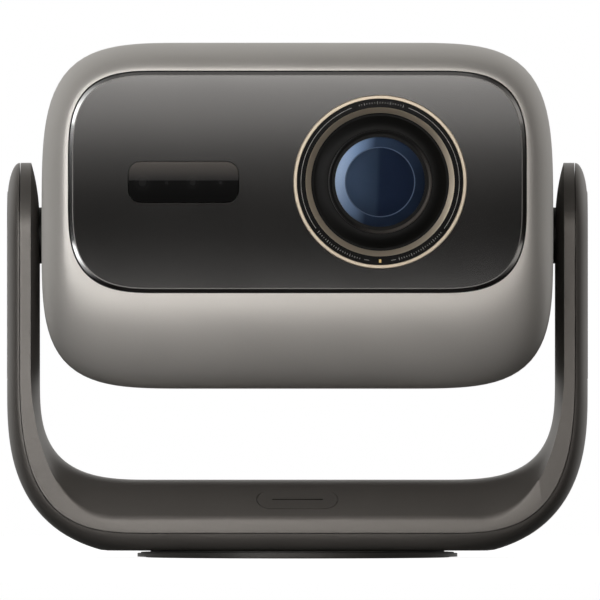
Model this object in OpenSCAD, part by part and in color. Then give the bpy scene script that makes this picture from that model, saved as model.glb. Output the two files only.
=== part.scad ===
// Home projector: a tilting head with a zoom lens, carried between the arms of a U-shaped yoke
// that turns on a round base. Millimetres, +Z up, the picture is thrown towards -Y.
// The origin is on the base's underside, on the axis about which the yoke turns.

/* [Head] */
// Width of the head, left to right
head_w = 276; // [264:1:340]
// Height of the head
head_h = 186.6; // [180:0.2:230]
// Depth of the head, front panel to rear cover
head_d = 208; // [206:1:260]
// Width of the head's rounded corners
corner_w = 86; // [70:1:95]
// Height of the head's upper rounded corners
corner_top = 100; // [80:1:104]
// Height of the head's lower rounded corners
corner_bottom = 86; // [70:1:86]
// Height of the head's middle above its tilt axis
head_rise = 10.5; // [4:0.5:14]
// Wall of the moulded covers
wall = 2.4; // [1.8:0.1:3.2]
// Thickness of the perforated side panels
grille_t = 1.2; // [0.8:0.1:1.6]
// Depth of the front shell, its rounded rim included
front_shell_d = 40; // [38:1:50]
// Depth of the front shell's rounded rim
rim_d = 36; // [25:1:38]
// Depth of the rear cover
rear_cover_d = 42; // [36:1:48]
// Radius of the rear cover's rounded edge
rear_r = 26; // [16:1:30]

/* [Front panel] */
// Width of the smoked front panel
panel_w = 247.6; // [236:0.2:250]
// Height of the smoked front panel
panel_h = 120.4; // [118:0.2:124]
// Thickness of the front panel
panel_t = 3; // [2:0.1:4]
// Width of the panel's bevelled edge
panel_bevel = 2; // [1:0.1:3]
// Width of the rim above the panel
panel_margin = 15; // [12:0.5:20]
// Size of the panel's rounded corners
panel_corner = 50; // [30:1:58]
// Width of the sensor window
window_w = 59.4; // [54:0.2:64]
// Height of the sensor window
window_h = 22; // [18:0.2:26]
// Distance of the sensor window's centre to the left of the middle
window_x = 61.3; // [58:0.1:70]

/* [Lens] */
// Distance of the lens axis to the right of the middle
lens_x = 44.5; // [42:0.5:50]
// Outer radius of the bright ring round the lens
ring_r = 46.6; // [46:0.1:49]
// Width of the bright outer ring
outer_ring_w = 1.9; // [1.2:0.1:3]
// Width of the black band inside it
band_w = 4.6; // [3:0.1:5]
// Width of the sloping inner ring
inner_ring_w = 3; // [2:0.1:3.4]
// Radius of the front glass
front_glass_r = 24.2; // [20:0.1:24.6]
// Radius of the lens barrel
barrel_r = 26; // [25.6:0.1:27]
// Largest sideways shift of the lens, to each side
shift_x = 5; // [3:0.5:5]
// Largest upward and downward shift of the lens
shift_z = 7; // [4:0.5:7]
// Travel of the zoom group
zoom_travel = 10; // [6:0.5:10]
// Travel of the focus group
focus_travel = 4; // [2:0.5:4]

/* [Yoke and base] */
// Thickness of the yoke's arms
arm_t = 17.6; // [17.4:0.1:24]
// Depth of the yoke, front to back
yoke_d = 78.8; // [72:0.2:100]
// Gap between an arm and the head
arm_gap = 1.5; // [1:0.1:4]
// Height of the yoke's crest above the table
crest_z = 42; // [41:0.5:50]
// Height of the yoke's flat underside above the table
yoke_floor = 3.8; // [3.6:0.1:5]
// Space between the turning head and the yoke's crest
swing_gap = 9.8; // [6:0.2:20]
// Radius of the boss that the head turns on
pivot_r = 15.2; // [14:0.1:17]
// Diameter of the round base
base_dia = 173.4; // [168:0.2:220]
// Thickness of the yoke's covers
cover_t = 2.2; // [1.8:0.1:2.4]
// Length of the power key
key_l = 43.7; // [36:0.1:46]
// Width of the power key
key_w = 14; // [10:0.1:15]
// Travel of the power key
key_travel = 0.6; // [0.4:0.1:1]

/* [Hidden] */
$fn = 48;
corner_n = 12;               // steps in each rounded corner of an outline
rim_n = 9;                   // steps round the front rim
edge_n = 6;                  // steps round the rear edge
dome_n = 8;                  // steps from the yoke's front edge to its crest
seam = 0.2;                  // gap between covers that meet
slip = 0.05;                 // radial clearance of a running shaft
play = 0.3;                  // clearance between pieces that must not rub
panel_gap = 0.8;             // gap round the front panel
ledge_w = 3;                 // width of the ledge behind the panel
body_power = 4.05;           // squareness of the head's corners
panel_power = 3.1;           // squareness of the panel's corners

// Heights and places that follow from the driving dimensions.
swing_y = head_d / 2 - rear_r;
swing_h = head_h / 2 - head_rise - rear_r;
pivot_z = crest_z + swing_gap + rear_r + sqrt(swing_y * swing_y + swing_h * swing_h);
head_bottom = pivot_z + head_rise - head_h / 2;
head_top = head_bottom + head_h;
front_y = -head_d / 2;
rear_y = head_d / 2;
split_front = front_y + front_shell_d;
split_rear = rear_y - rear_cover_d;
hs_front = 32;               // front and rear of the cooler's fins
hs_rear = rear_y - 26;
fan_size = 80;
fan_t = 15;
fan_x = 46;                  // distance of each fan's axis from the middle
panel_top = head_top - panel_margin;
panel_bottom = panel_top - panel_h;
panel_front = front_y + 1;
panel_back = panel_front + panel_t;
lens_z = (panel_top + panel_bottom) / 2;
fan_z = lens_z;
fan_y = hs_rear + seam;
yoke_x = head_w / 2 + arm_gap + arm_t;
inner_x = head_w / 2 + arm_gap;
half_d = yoke_d / 2;

straight = 30;               // straight length of the arms below the tilt axis
arm_z = pivot_z - straight + 1;

// An outline with superellipse corners is [half width, bottom, top, corner width, lower corner
// height, upper corner height, power].
full_outline = [head_w / 2, head_bottom, head_top, corner_w, corner_bottom, corner_top,
                body_power];
panel_outline = [panel_w / 2, panel_bottom, panel_top, panel_corner, panel_corner,
                 panel_corner, panel_power];
yoke_outline = [yoke_x, yoke_floor - 3.7, arm_z, 92.8, 90.4, 1, 2.72];
seam_outline = [yoke_x - 6.7, yoke_floor + 9.2, arm_z, 72.2, 98.7, 1, 3.2];
edge_outline = [inner_x + 4.7, crest_z - 21.9, arm_z, 42.7, 81.4, 1, 2];
crest_outline = [inner_x, crest_z, arm_z, 62.4, 55, 1, 3.12];

function mix(a, b, w) = a + (b - a) * w;
function inset(o, d) = [o[0] - d, o[1] + d, o[2] - d, o[3] - d, o[4] - d, o[5] - d, o[6]];
function reach(a, m) = pow(pow(abs(cos(a)), m) + pow(abs(sin(a)), m), -1 / m);

// One point of a rounded corner: the side sx, the sign sz of its height and the angle a.
function corner_point(o, sx, sz, a) =
    let (h = sz > 0 ? o[5] : o[4], r = reach(a, o[6]), cz = sz > 0 ? o[2] - h : o[1] + h)
    [sx * (o[0] - o[3]) + o[3] * r * cos(a), cz + h * r * sin(a)];
function corner(o, sx, sz, start) =
    [for (k = [0:corner_n]) corner_point(o, sx, sz, start + 90 * k / corner_n)];
function outline(o) =
    concat(corner(o, 1, 1, 0), corner(o, -1, 1, 90), corner(o, -1, -1, 180),
           corner(o, 1, -1, 270));
function ring(o, y) = [for (p = outline(o)) [p[0], y, p[1]]];

// How far the covers fall, from the flat top or bottom, at the distance x from the middle.
function fall(x, h) =
    let (u = max(0, (x - head_w / 2 + corner_w) / corner_w))
    h * (1 - pow(1 - pow(u, body_power), 1 / body_power));

// Half the head's width at height z.
function side_x(z) =
    let (high = head_top - corner_top, low = head_bottom + corner_bottom,
         v = z > high ? (z - high) / corner_top : (low - z) / corner_bottom)
    head_w / 2 - corner_w + corner_w * pow(1 - pow(max(v, 0), body_power), 1 / body_power);

// The U of the yoke, from the top of one arm to the top of the other; nothing lies below low.
function u_path(o) =
    concat([[-o[0], o[2]]], corner(o, -1, -1, 180), corner(o, 1, -1, 270), [[o[0], o[2]]]);
function reversed(v) = [for (i = [len(v) - 1:-1:0]) v[i]];
function u_ring(o, y, low = 0) = [for (p = u_path(o)) [p[0], y, max(p[1], low)]];

// A solid whose surface runs through rings of points. Rings that close on themselves (around),
// or a last ring that joins the first one (closed), need no cap there. The ends of open rings
// are capped between each ring and its partner on the wall's other face.
module skin(rings, around = true, closed = false) {
    n = len(rings[0]);
    m = len(rings);
    last_i = around ? n - 1 : n - 2;
    last_j = closed ? m - 1 : m - 2;
    sides = [for (j = [0:last_j], i = [0:last_i])
        let (j1 = (j + 1) % m, i1 = (i + 1) % n)
        each [[j * n + i, j * n + i1, j1 * n + i1], [j * n + i, j1 * n + i1, j1 * n + i]]];
    ring_caps = closed ? []
        : [[for (i = [n - 1:-1:0]) i], [for (i = [0:n - 1]) (m - 1) * n + i]];
    end_caps = around ? [] : [for (j = [0:m / 2 - 2]) let (k = m - 1 - j)
        each [[j * n, (j + 1) * n, (k - 1) * n, k * n],
              [k * n + n - 1, (k - 1) * n + n - 1, (j + 1) * n + n - 1, j * n + n - 1]]];
    polyhedron(points = [for (r = rings) each r], faces = concat(sides, ring_caps, end_caps));
}

// Rods, tubes and boxes by place: along Y from depth y, and along X from place x.
module rod_y(r, y, l) { translate([0, y, 0]) rotate([-90, 0, 0]) cylinder(r = r, h = l); }
module rod_x(r, x, l) { translate([x, 0, 0]) rotate([0, 90, 0]) cylinder(r = r, h = l); }
module tube_y(ro, ri, y, l) {
    difference() {
        rod_y(ro, y, l);
        rod_y(ri, y - 1, l + 2);
    }
}
module tube_x(ro, ri, x, l) {
    difference() {
        rod_x(ro, x, l);
        rod_x(ri, x - 1, l + 2);
    }
}
module tube_z(ro, ri, z, l) {
    translate([0, 0, z]) difference() {
        cylinder(r = ro, h = l);
        translate([0, 0, -1]) cylinder(r = ri, h = l + 2);
    }
}
module box(lo, hi) { translate(lo) cube(hi - lo); }
module rounded_flat(w, h, r) {
    square([w, h - 2 * r], center = true);
    square([w - 2 * r, h], center = true);
    for (sx = [-1, 1], sy = [-1, 1]) translate([sx * (w / 2 - r), sy * (h / 2 - r)]) circle(r);
}
module rounded_y(w, h, r, y, t) {
    translate([0, y + t, 0]) rotate([90, 0, 0]) linear_extrude(t) rounded_flat(w, h, r);
}
module rounded_x(d, h, r, x, t) {
    translate([x, 0, 0]) rotate([90, 0, 90]) linear_extrude(t) rounded_flat(d, h, r);
}
module at_lens() { translate([lens_x, 0, lens_z]) children(); }
module at_pivot() { translate([0, 0, pivot_z]) children(); }

// ---------------------------------------------------------------- head covers
// The rim turns from facing forwards at the panel to facing sideways, over a quarter ellipse.
panel_opening = inset(panel_outline, -panel_gap);
seat_y = panel_back + seam;
function rim_outline(a) = mix(panel_opening, full_outline, sin(a));
function rim_y(a) = front_y + rim_d * (1 - cos(a));
module front_shell() {
    ledge = inset(panel_outline, ledge_w);
    color("silver") skin(concat(
        [for (k = [0:rim_n]) let (a = 90 * k / rim_n) ring(rim_outline(a), rim_y(a))],
        [ring(full_outline, split_front), ring(inset(full_outline, wall), split_front)],
        [for (k = [rim_n:-1:3]) let (a = 90 * k / rim_n)
            ring(inset(rim_outline(a), wall), rim_y(a) + wall / 2)],
        [ring(ledge, seat_y + wall), ring(ledge, seat_y), ring(panel_opening, seat_y)]
    ), closed = true);
}

// The covers over the head's middle share one ring of points; the side panels take grille_step
// steps above and below the middle of each side.
grille_step = 5;
corner_points = corner_n + 1;
ring_points = 4 * corner_points;
module cover(first, last, thick) {
    outer = outline(full_outline);
    inner = outline(inset(full_outline, thick));
    turn = [for (i = [first:last]) (i + ring_points) % ring_points];
    skin([for (s = [[outer, split_front + seam], [outer, split_rear - seam],
                    [inner, split_rear - seam], [inner, split_front + seam]])
        [for (i = turn) [s[0][i][0], s[1], s[0][i][1]]]], around = false, closed = true);
}
module top_cover() {
    color("silver") cover(grille_step, 2 * corner_points - 1 - grille_step, wall);
}
module bottom_cover() {
    color("silver")
        cover(2 * corner_points + grille_step, ring_points - 1 - grille_step, wall);
}
module side_grille() {
    difference() {
        cover(-grille_step - 1, grille_step, grille_t);
        at_pivot() rod_x(pivot_r + play, head_w / 2 - 20, 40);
    }
}
module grille_right() { color("dimgray") side_grille(); }
module grille_left() { color("dimgray") mirror([1, 0, 0]) side_grille(); }

vent_n = 9;
vent_pitch = 8;
vent_slot = 3.6;
vent_w = 72;
port_w = 126;
port_h = 24;
port_z = head_bottom + 40;
screw_x = 88;
screw_r = 1.5;
cup_r = 3.2;
rear_face = rear_y - wall;
function rear_inset(a) = rear_r * (1 - cos(a));
module rear_cover() {
    inner_r = rear_r - wall;
    steps = [for (k = [0:edge_n]) 90 * k / edge_n];
    color("silver") difference() {
        skin(concat(
            [for (k = [edge_n:-1:0]) ring(inset(full_outline, wall + inner_r * (1 - cos(steps[k]))),
                                          rear_y - rear_r + inner_r * sin(steps[k]))],
            [ring(inset(full_outline, wall), split_rear), ring(full_outline, split_rear)],
            [for (a = steps) ring(inset(full_outline, rear_inset(a)),
                                  rear_y - rear_r + rear_r * sin(a))]
        ));
        for (sx = [-1, 1], k = [0:vent_n - 1])
            translate([sx * fan_x, 0, fan_z + (k - (vent_n - 1) / 2) * vent_pitch])
                rounded_y(vent_w, vent_slot, vent_slot / 2 - 0.05, rear_face - 1, wall + 2);
        translate([0, 0, port_z]) rounded_y(port_w, port_h, 5, rear_face - 1, wall + 2);
        for (sx = [-1, 1], z = [screw_low, screw_high]) translate([sx * screw_x, 0, z]) {
            rod_y(screw_r + slip, rear_face - 1, wall + 2);
            rod_y(cup_r + slip, rear_y - 1.2, 2);
        }
    }
}
screw_low = port_z;
screw_high = fan_z + fan_size / 2 + 6;
module cover_screws() {
    color("dimgray") for (sx = [-1, 1], z = [screw_low, screw_high])
        translate([sx * screw_x, 0, z]) difference() {
            union() {
                rod_y(screw_r, hs_rear - 4, rear_y - 1 - hs_rear + 4);
                rod_y(cup_r, rear_y - 1.2, 1);
            }
            translate([0, rear_y - 0.9, 0]) rotate([-90, 0, 0]) cylinder(r = 1.3, h = 2, $fn = 6);
        }
}

// ---------------------------------------------------------------- front panel
module front_panel() {
    color("#3a3633") difference() {
        skin([ring(inset(panel_outline, panel_bevel), panel_front),
              ring(panel_outline, panel_front + 1), ring(panel_outline, panel_back)]);
        at_lens() rod_y(ring_r + seam, front_y - 1, panel_t + 4);
        translate([-window_x, 0, lens_z])
            rounded_y(window_w + 2 * seam, window_h + 2 * seam, 7, front_y - 1, panel_t + 4);
    }
}
shelf_y = panel_back - 0.4;
band_r = ring_r - outer_ring_w;
bevel_r = band_r - band_w;
mouth_r = bevel_r - inner_ring_w;
module turned(points) { rotate([90, 0, 0]) rotate_extrude() polygon(points); }
module lens_ring_outer() {
    flange_y = panel_back + seam;
    color("#c8b89c") at_lens() difference() {
        union() {
            rod_y(ring_r, front_y, flange_y + 1.4 - front_y);
            rod_y(ring_r + 2.4, flange_y, 1.4);
        }
        rod_y(band_r, front_y - 1, shelf_y + 1 - front_y);
        rod_y(mouth_r, front_y - 1, 9);
    }
}
module lens_band() {
    color("#181716") at_lens()
        tube_y(band_r - slip, bevel_r + slip, front_y + 0.8, shelf_y - front_y - 0.8);
}
module lens_ring_inner() {
    lip = 1.6;
    color("#c8b89c") at_lens() turned([[bevel_r, -front_y - 0.6], [bevel_r, -shelf_y],
        [mouth_r, -shelf_y], [mouth_r, -front_y - 0.6 - lip], [bevel_r - 0.4, -front_y - 0.6]]);
}
module sensor_window() {
    color("#24221f") translate([-window_x, 0, lens_z]) union() {
        rounded_y(window_w, window_h, 6.8, panel_front, panel_t + seam);
        rounded_y(window_w + 5, window_h + 5, 8, seat_y, 1.2);
    }
}

// The sensors look out through the window: a board with a camera, a distance sensor, a light
// sensor and a receiver for the remote control.
board_y = seat_y + 7.2;
camera_x = -22;
range_x = 5;
module sensor_board() {
    color("#1b1f1c") translate([-window_x, 0, lens_z]) union() {
        rounded_y(window_w + 2, window_h - 2, 2, board_y, 1.6);
        for (sx = [-1, 1], sz = [-1, 1])
            translate([sx * (window_w / 2 - 2), 0, sz * (window_h / 2 - 3)])
                rod_y(1.4, seat_y + 1.3, board_y - seat_y);
        for (x = [camera_x, range_x]) translate([x, 0, 0]) {
            box([-4.8, board_y - 3, -4.8], [4.8, board_y + 0.5, 4.8]);
            tube_y(3.9, 1.8, board_y - 5.6, 3);
        }
        for (x = [-9, 20]) translate([x, 0, 0]) rod_y(1.6, board_y - 3, 3.5);
    }
}

// ---------------------------------------------------------------- zoom lens on its shift stage
bulk_y = split_front + 6;    // front face of the chassis bulkhead
base_y = bulk_y - 3.2;       // front face of the stage's fixed plate
plate_x_y = base_y - 3.3;
plate_z_y = plate_x_y - 3.3;
flange_y = plate_z_y - 3.6;
tail_r = barrel_r - 2;
stage_w = 46;                // half width and half height of the sideways plate
stage_h = 44;
slide_w = 38;                // half width and half height of the upright plate
slide_h = stage_h - shift_z - 3;
lip_w = 2;
module stage_base() {
    guide = stage_h + play;
    color("#8d8f91") at_lens() difference() {
        union() {
            box([-stage_w - 8, base_y, -guide - 3], [stage_w + 8, bulk_y - seam, guide + 3]);
            for (s = [0, 1]) mirror([0, 0, s]) {
                box([-stage_w - 8, plate_x_y - play - 2, guide],
                    [stage_w + 8, base_y, guide + 3]);
                box([-stage_w - 8, plate_x_y - play - 2, guide - lip_w],
                    [stage_w + 8, plate_x_y - play, guide + 3]);
            }
        }
        rod_y(tail_r + sqrt(shift_x * shift_x + shift_z * shift_z) + 1.4, base_y - 9, 20);
    }
}
module shift_plate_x() {
    guide = slide_w + play;
    color("#b9bcbf") at_lens() difference() {
        union() {
            box([-stage_w, plate_x_y, -stage_h], [stage_w, base_y - play, stage_h]);
            for (s = [0, 1]) mirror([s, 0, 0]) {
                box([guide, plate_z_y - play - 2, 3.1 - stage_h],
                    [guide + 3, plate_x_y, stage_h - 3.1]);
                box([guide - lip_w, plate_z_y - play - 2, 3.1 - stage_h],
                    [guide + 3, plate_z_y - play, stage_h - 3.1]);
            }
        }
        rod_y(tail_r + shift_z + 1, base_y - 9, 20);
    }
}
skirt_y = panel_back + 2;
skirt_r = mouth_r + sqrt(shift_x * shift_x + shift_z * shift_z) + 0.4;
bore_r = tail_r - 2;
glass_y = front_y + 3;
module lens_barrel() {
    color("#222222") at_lens() difference() {
        union() {
            rod_y(barrel_r, glass_y - 0.6, flange_y - glass_y + 1);
            rod_y(34, flange_y, plate_z_y + 1 - flange_y);
            box([-slide_w, plate_z_y, -slide_h], [slide_w, plate_x_y - play, slide_h]);
            rod_y(tail_r, flange_y, base_y + 1 - flange_y);
        }
        rod_y(bore_r, glass_y - 2, 60);
        rod_y(front_glass_r + slip, glass_y - 2, 10);
    }
}
module lens_skirt() {
    color("#161616") at_lens() tube_y(skirt_r, barrel_r + slip, skirt_y, 1.6);
}
module front_glass() {
    rise = 1.6;
    dome_r = (front_glass_r * front_glass_r + rise * rise) / (2 * rise);
    half = asin(front_glass_r / dome_r);
    color("#2b3c66") at_lens() turned(concat(
        [[0, -glass_y - 7.6], [front_glass_r, -glass_y - 7.6]],
        [for (k = [8:-1:1]) let (a = half * k / 8)
            [dome_r * sin(a), -glass_y - dome_r * (1 - cos(a))]],
        [[0, -glass_y - dome_r * (1 - cos(half / 8))]]));
}
zoom_y = flange_y - 8.4;
focus_y = zoom_y - 9;
drive_w = 7;
module drive_ring(y) { at_lens() tube_y(barrel_r + 5, barrel_r + slip, y, drive_w); }
module zoom_ring() { color("#7c7f82") drive_ring(zoom_y); }
module focus_ring() { color("#7c7f82") drive_ring(focus_y); }
module lens_cell(y, l) {
    at_lens() difference() {
        rod_y(bore_r - slip, y, l);
        for (s = [0, 1]) translate([0, y + s * l, 0]) scale([1, 0.12, 1])
            sphere(bore_r - 3, $fn = 64);
    }
}
zoom_start = glass_y + 10;
module zoom_group() { color("#4a6a8c") lens_cell(zoom_start, 9); }
focus_start = zoom_start + 9 + zoom_travel + 2;
module focus_group() { color("#4a6a8c") lens_cell(focus_start, 7); }

// ---------------------------------------------------------------- chassis and light engine
frame_x = head_w / 2 - 20;   // outer face of the chassis side plates
sheet = 2;
floor_z = head_bottom + 20;
deck_z = head_top - 24;
board_x = 92;
stand_h = 6;
speaker_y = -36;
speaker_z = pivot_z + 2;
post_r = 4;
post_z = [speaker_z - 52, speaker_z + 52];
function post_end(z) = min(side_x(z - post_r), side_x(z + post_r)) - grille_t - 0.5;
foot_r = 5;
foot_x = frame_x - 20;
tab_x = 60;
module chassis() {
    low_end = head_bottom + fall(foot_x + foot_r, corner_bottom) + wall + 0.7;
    high_end = head_top - fall(foot_x + foot_r, corner_top) - wall - 0.7;
    color("#9a9c9e") difference() {
        union() {
            box([-frame_x, bulk_y, floor_z], [frame_x, hs_rear, floor_z + sheet]);
            box([-frame_x, bulk_y, floor_z], [frame_x, bulk_y + sheet, deck_z]);
            for (z = [screw_low, screw_high])
                box([-frame_x, hs_rear - 3, z - 5], [frame_x, hs_rear - 0.1, z + 5]);
            for (s = [0, 1]) mirror([s, 0, 0]) {
                box([frame_x - sheet, bulk_y, floor_z], [frame_x, hs_rear, deck_z]);
                for (y = [split_front + 12, split_rear - 12], z = post_z) translate([0, y, z])
                    rod_x(post_r, frame_x - 1, post_end(z) - frame_x + 1);
                for (y = [bulk_y + 20, hs_rear - 20]) {
                    translate([foot_x, y, low_end]) cylinder(r = foot_r, h = floor_z - low_end + 1);
                    translate([foot_x, y, deck_z - 4])
                        cylinder(r = foot_r, h = high_end - deck_z + 4);
                    box([foot_x - 6, y - 6, deck_z - 4], [frame_x, y + 6, deck_z]);
                }
                for (x = [30, board_x - 6], y = [bulk_y + 14, hs_rear - 30])
                    translate([x, y, floor_z]) cylinder(r = 3, h = sheet + stand_h);
                box([tab_x - 6, bulk_y, deck_z - 4], [tab_x + 6, bulk_y + sheet, panel_top + 4]);
                for (z = [panel_bottom + 1, panel_top - 1]) translate([tab_x, 0, z])
                    rod_y(post_r, seat_y + wall + 0.2, bulk_y + 1 - seat_y - wall);
            }
        }
        at_lens() rod_y(tail_r + 10, bulk_y - 1, sheet + 2);
        at_pivot() rod_x(pivot_r + slip, -frame_x - 1, 2 * frame_x + 2);
        for (s = [0, 1]) mirror([s, 0, 0]) translate([0, speaker_y, speaker_z])
            rounded_x(22, 70, 6, frame_x - sheet - 1, sheet + 2);
        for (sx = [-1, 1], z = [screw_low, screw_high]) translate([sx * screw_x, 0, z])
            rod_y(screw_r + slip, hs_rear - 5, 6);
    }
}

flange_r = pivot_r + 7;
journal_r = 9;
strap_in = inner_x + 4.1;
strap_t = 6;
bush_r = journal_r + 2.5;
nut_t = 3.6;
module pivot_shaft() {
    at_pivot() union() {
        rod_x(flange_r, frame_x - sheet - 4, 4 - seam);
        rod_x(pivot_r, frame_x - sheet - 4, strap_in - play - frame_x + sheet + 4);
        rod_x(journal_r, frame_x, strap_in + strap_t + nut_t + 0.6 - frame_x);
    }
}
module pivot_right() { color("#1b1b1b") pivot_shaft(); }
module pivot_left() { color("#1b1b1b") mirror([1, 0, 0]) pivot_shaft(); }
module tilt_nut() {
    at_pivot() difference() {
        translate([strap_in + strap_t + 0.1, 0, 0]) rotate([0, 90, 0])
            cylinder(r = 13, h = nut_t, $fn = 6);
        rod_x(journal_r + slip, strap_in, 20);
    }
}
module tilt_nut_right() { color("#b0b0b0") tilt_nut(); }
module tilt_nut_left() { color("#b0b0b0") mirror([1, 0, 0]) tilt_nut(); }
module speaker() {
    translate([0, speaker_y, speaker_z]) union() {
        difference() {
            rounded_x(32, 92, 12, frame_x + seam, 3);
            rounded_x(24, 80, 9, frame_x + seam + 1, 3);
        }
        rounded_x(21, 69, 5, frame_x - 9, 9 + seam + 1.5);
        rounded_x(13, 65, 6, frame_x - 1, 4.5);
        rod_x(9.5, frame_x - 17, 9);
    }
}
module speaker_right() { color("#2c2c2c") speaker(); }
module speaker_left() { color("#2c2c2c") mirror([1, 0, 0]) speaker(); }
engine_w = 34;
engine_h = 30;
engine_back = bulk_y + sheet + 46;
module light_engine() {
    color("#4d5256") at_lens() difference() {
        union() {
            box([-engine_w, bulk_y + sheet, -engine_h], [engine_w, engine_back, engine_h]);
            box([-engine_w, engine_back - 1, -engine_h + 8], [0, engine_back + 12, engine_h - 8]);
        }
        rod_y(20, bulk_y, 16);
    }
}
laser_x = lens_x - engine_w - seam;
laser_w = 46;
laser_back = engine_back - 6;
module laser_module() {
    color("#c9a04a") union() {
        box([laser_x - laser_w, bulk_y + 12, lens_z - 22], [laser_x, laser_back, lens_z + 22]);
        box([laser_x - laser_w - 12, laser_back - 6, lens_z - 32],
            [laser_x, laser_back, lens_z + 32]);
    }
}
pipe_r = 3;
pipe_y = (hs_front + hs_rear) / 2;
pipe_z = [-27, -9, 9, 27];
hs_x = frame_x - sheet - play;
hs_h = 38;
fin_n = 28;
module heat_pipe(x, dir) {
    translate([x, 0, 0]) mirror([dir > 0 ? 0 : 1, 0, 0]) {
        rod_y(pipe_r, laser_back + 0.1, pipe_y - laser_back - 0.1);
        translate([0, pipe_y, 0]) {
            sphere(pipe_r);
            rod_x(pipe_r, 0, hs_x - 4 - dir * x);
        }
    }
}
module cooler() {
    pitch = (2 * hs_x - 1) / (fin_n - 1);
    left_x = laser_x - laser_w - 2;
    color("#c4c7ca") union() {
        for (s = [-1, 1]) translate([0, 0, lens_z + s * (hs_h - 0.8)])
            box([-hs_x, hs_front, -0.8], [hs_x, hs_rear, 0.8]);
        for (k = [0:fin_n - 1]) translate([k * pitch - hs_x, 0, lens_z])
            box([0, hs_front, 0.8 - hs_h], [1, hs_rear, hs_h - 0.8]);
        for (k = [0:3]) translate([0, 0, lens_z + pipe_z[k]])
            heat_pipe(left_x + (k % 2) * 30, k % 2 == 0 ? -1 : 1);
    }
}

// ---------------------------------------------------------------- fans, boards and connectors
hub_r = 17;
blade_n = 7;
module fan_frame() {
    translate([fan_x, 0, fan_z]) difference() {
        union() {
            difference() {
                rounded_y(fan_size, fan_size, 5, fan_y, fan_t);
                rod_y(fan_size / 2 - 2, fan_y - 1, fan_t + 2);
            }
            rod_y(hub_r, fan_y, 2);
            for (a = [45, 165, 285]) rotate([0, a, 0])
                box([hub_r - 2, fan_y, -1.5], [fan_size / 2, fan_y + 2, 1.5]);
            rod_y(2, fan_y, fan_t - 3);
        }
        for (sx = [-1, 1], sz = [-1, 1]) translate([sx * 35.7, 0, sz * 35.7])
            rod_y(2, fan_y - 1, fan_t + 2);
    }
}
module fan_right() { color("#1d1d1d") fan_frame(); }
module fan_left() { color("#1d1d1d") mirror([1, 0, 0]) fan_frame(); }
module fan_rotor() {
    translate([fan_x, 0, fan_z]) difference() {
        union() {
            rod_y(hub_r, fan_y + 2.6, fan_t - 3.6);
            intersection() {
                tube_y(fan_size / 2 - 3, hub_r - 1, fan_y + 3, fan_t - 4);
                for (k = [0:blade_n - 1]) rotate([0, 360 / blade_n * k, 0])
                    translate([0, fan_y + fan_t / 2 + 1, 0]) rotate([35, 0, 0])
                        box([hub_r - 2, -8, -0.7], [fan_size / 2, 8, 0.7]);
            }
        }
        rod_y(2 + slip, fan_y, fan_t - 2.6);
    }
}
module rotor_right() { color("#333333") fan_rotor(); }
module rotor_left() { color("#333333") mirror([1, 0, 0]) fan_rotor(); }

main_z = floor_z + sheet + stand_h;
socket_y = rear_face - 15;
sheet_y = rear_face - seam - 1.6;
deck_port_z = port_z - 7;
module main_board() {
    color("#1f5a3a") union() {
        box([-board_x, bulk_y + 6, main_z], [board_x, hs_rear - 22, main_z + 1.6]);
        box([10, -30, main_z + 1.5], [50, 10, main_z + 9]);
        box([58, -36, main_z + 1.5], [76, 20, main_z + 4]);
        box([-20, 30, main_z + 1.5], [20, 46, main_z + 6]);
        for (x = [-74, -50, -26]) translate([x, -24, main_z + 1.5]) cylinder(r = 7, h = 14);
        box([-80, -4, main_z + 1.5], [-20, 12, main_z + 12]);
        box([-64, hs_rear - 20, deck_port_z - 1.6], [64, sheet_y - play, deck_port_z]);
        for (x = [-60, 60]) translate([x, hs_rear - 15, floor_z + sheet])
            cylinder(r = 3, h = deck_port_z - 1.5 - floor_z - sheet);
    }
}
module socket_body(x, w, h, grow = 0) {
    box([x - w / 2 - grow, socket_y - grow, deck_port_z - grow],
        [x + w / 2 + grow, rear_face - seam + grow, deck_port_z + h + grow]);
}
video_x = [-50, -26];
usb_x = -3;
audio_x = 17;
inlet_x = 46;
inlet_z = deck_port_z + 8.2;
module port_panel() {
    color("#262626") difference() {
        translate([0, 0, port_z]) rounded_y(port_w + 8, port_h + 6, 6, sheet_y, 1.6);
        for (x = video_x) socket_body(x, 15.4, 6.4, seam);
        socket_body(usb_x, 14, 7.2, seam);
        translate([audio_x, 0, deck_port_z + 4.5]) rod_y(4 + seam, sheet_y - 1, 4);
        translate([inlet_x, 0, inlet_z]) rod_y(8 + seam, sheet_y - 1, 4);
    }
}
module video_socket(x) {
    difference() {
        socket_body(x, 15.4, 6.4);
        box([x - 6.9, socket_y + 3, deck_port_z + 0.9], [x + 6.9, rear_y, deck_port_z + 5.5]);
    }
    box([x - 5.5, socket_y + 2, deck_port_z + 2.7], [x + 5.5, rear_face - 2, deck_port_z + 3.7]);
}
module video_sockets() { color("#c0c0c0") for (x = video_x) video_socket(x); }
module usb_socket() {
    color("#c0c0c0") {
        difference() {
            socket_body(usb_x, 14, 7.2);
            box([usb_x - 6.3, socket_y + 3, deck_port_z + 0.7],
                [usb_x + 6.3, rear_y, deck_port_z + 6.5]);
        }
        box([usb_x - 5.6, socket_y + 2, deck_port_z + 3.6],
            [usb_x + 5.6, rear_face - 2, deck_port_z + 5.4]);
    }
}
module audio_jack() {
    color("#2b2b2b") difference() {
        union() {
            translate([audio_x, 0, deck_port_z + 4.5])
                rod_y(4, socket_y + 2, rear_face - seam - socket_y - 2);
            box([audio_x - 4.5, socket_y, deck_port_z],
                [audio_x + 4.5, sheet_y - play, deck_port_z + 9]);
        }
        translate([audio_x, 0, deck_port_z + 4.5]) rod_y(1.8, socket_y + 2, 20);
    }
}
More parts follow.
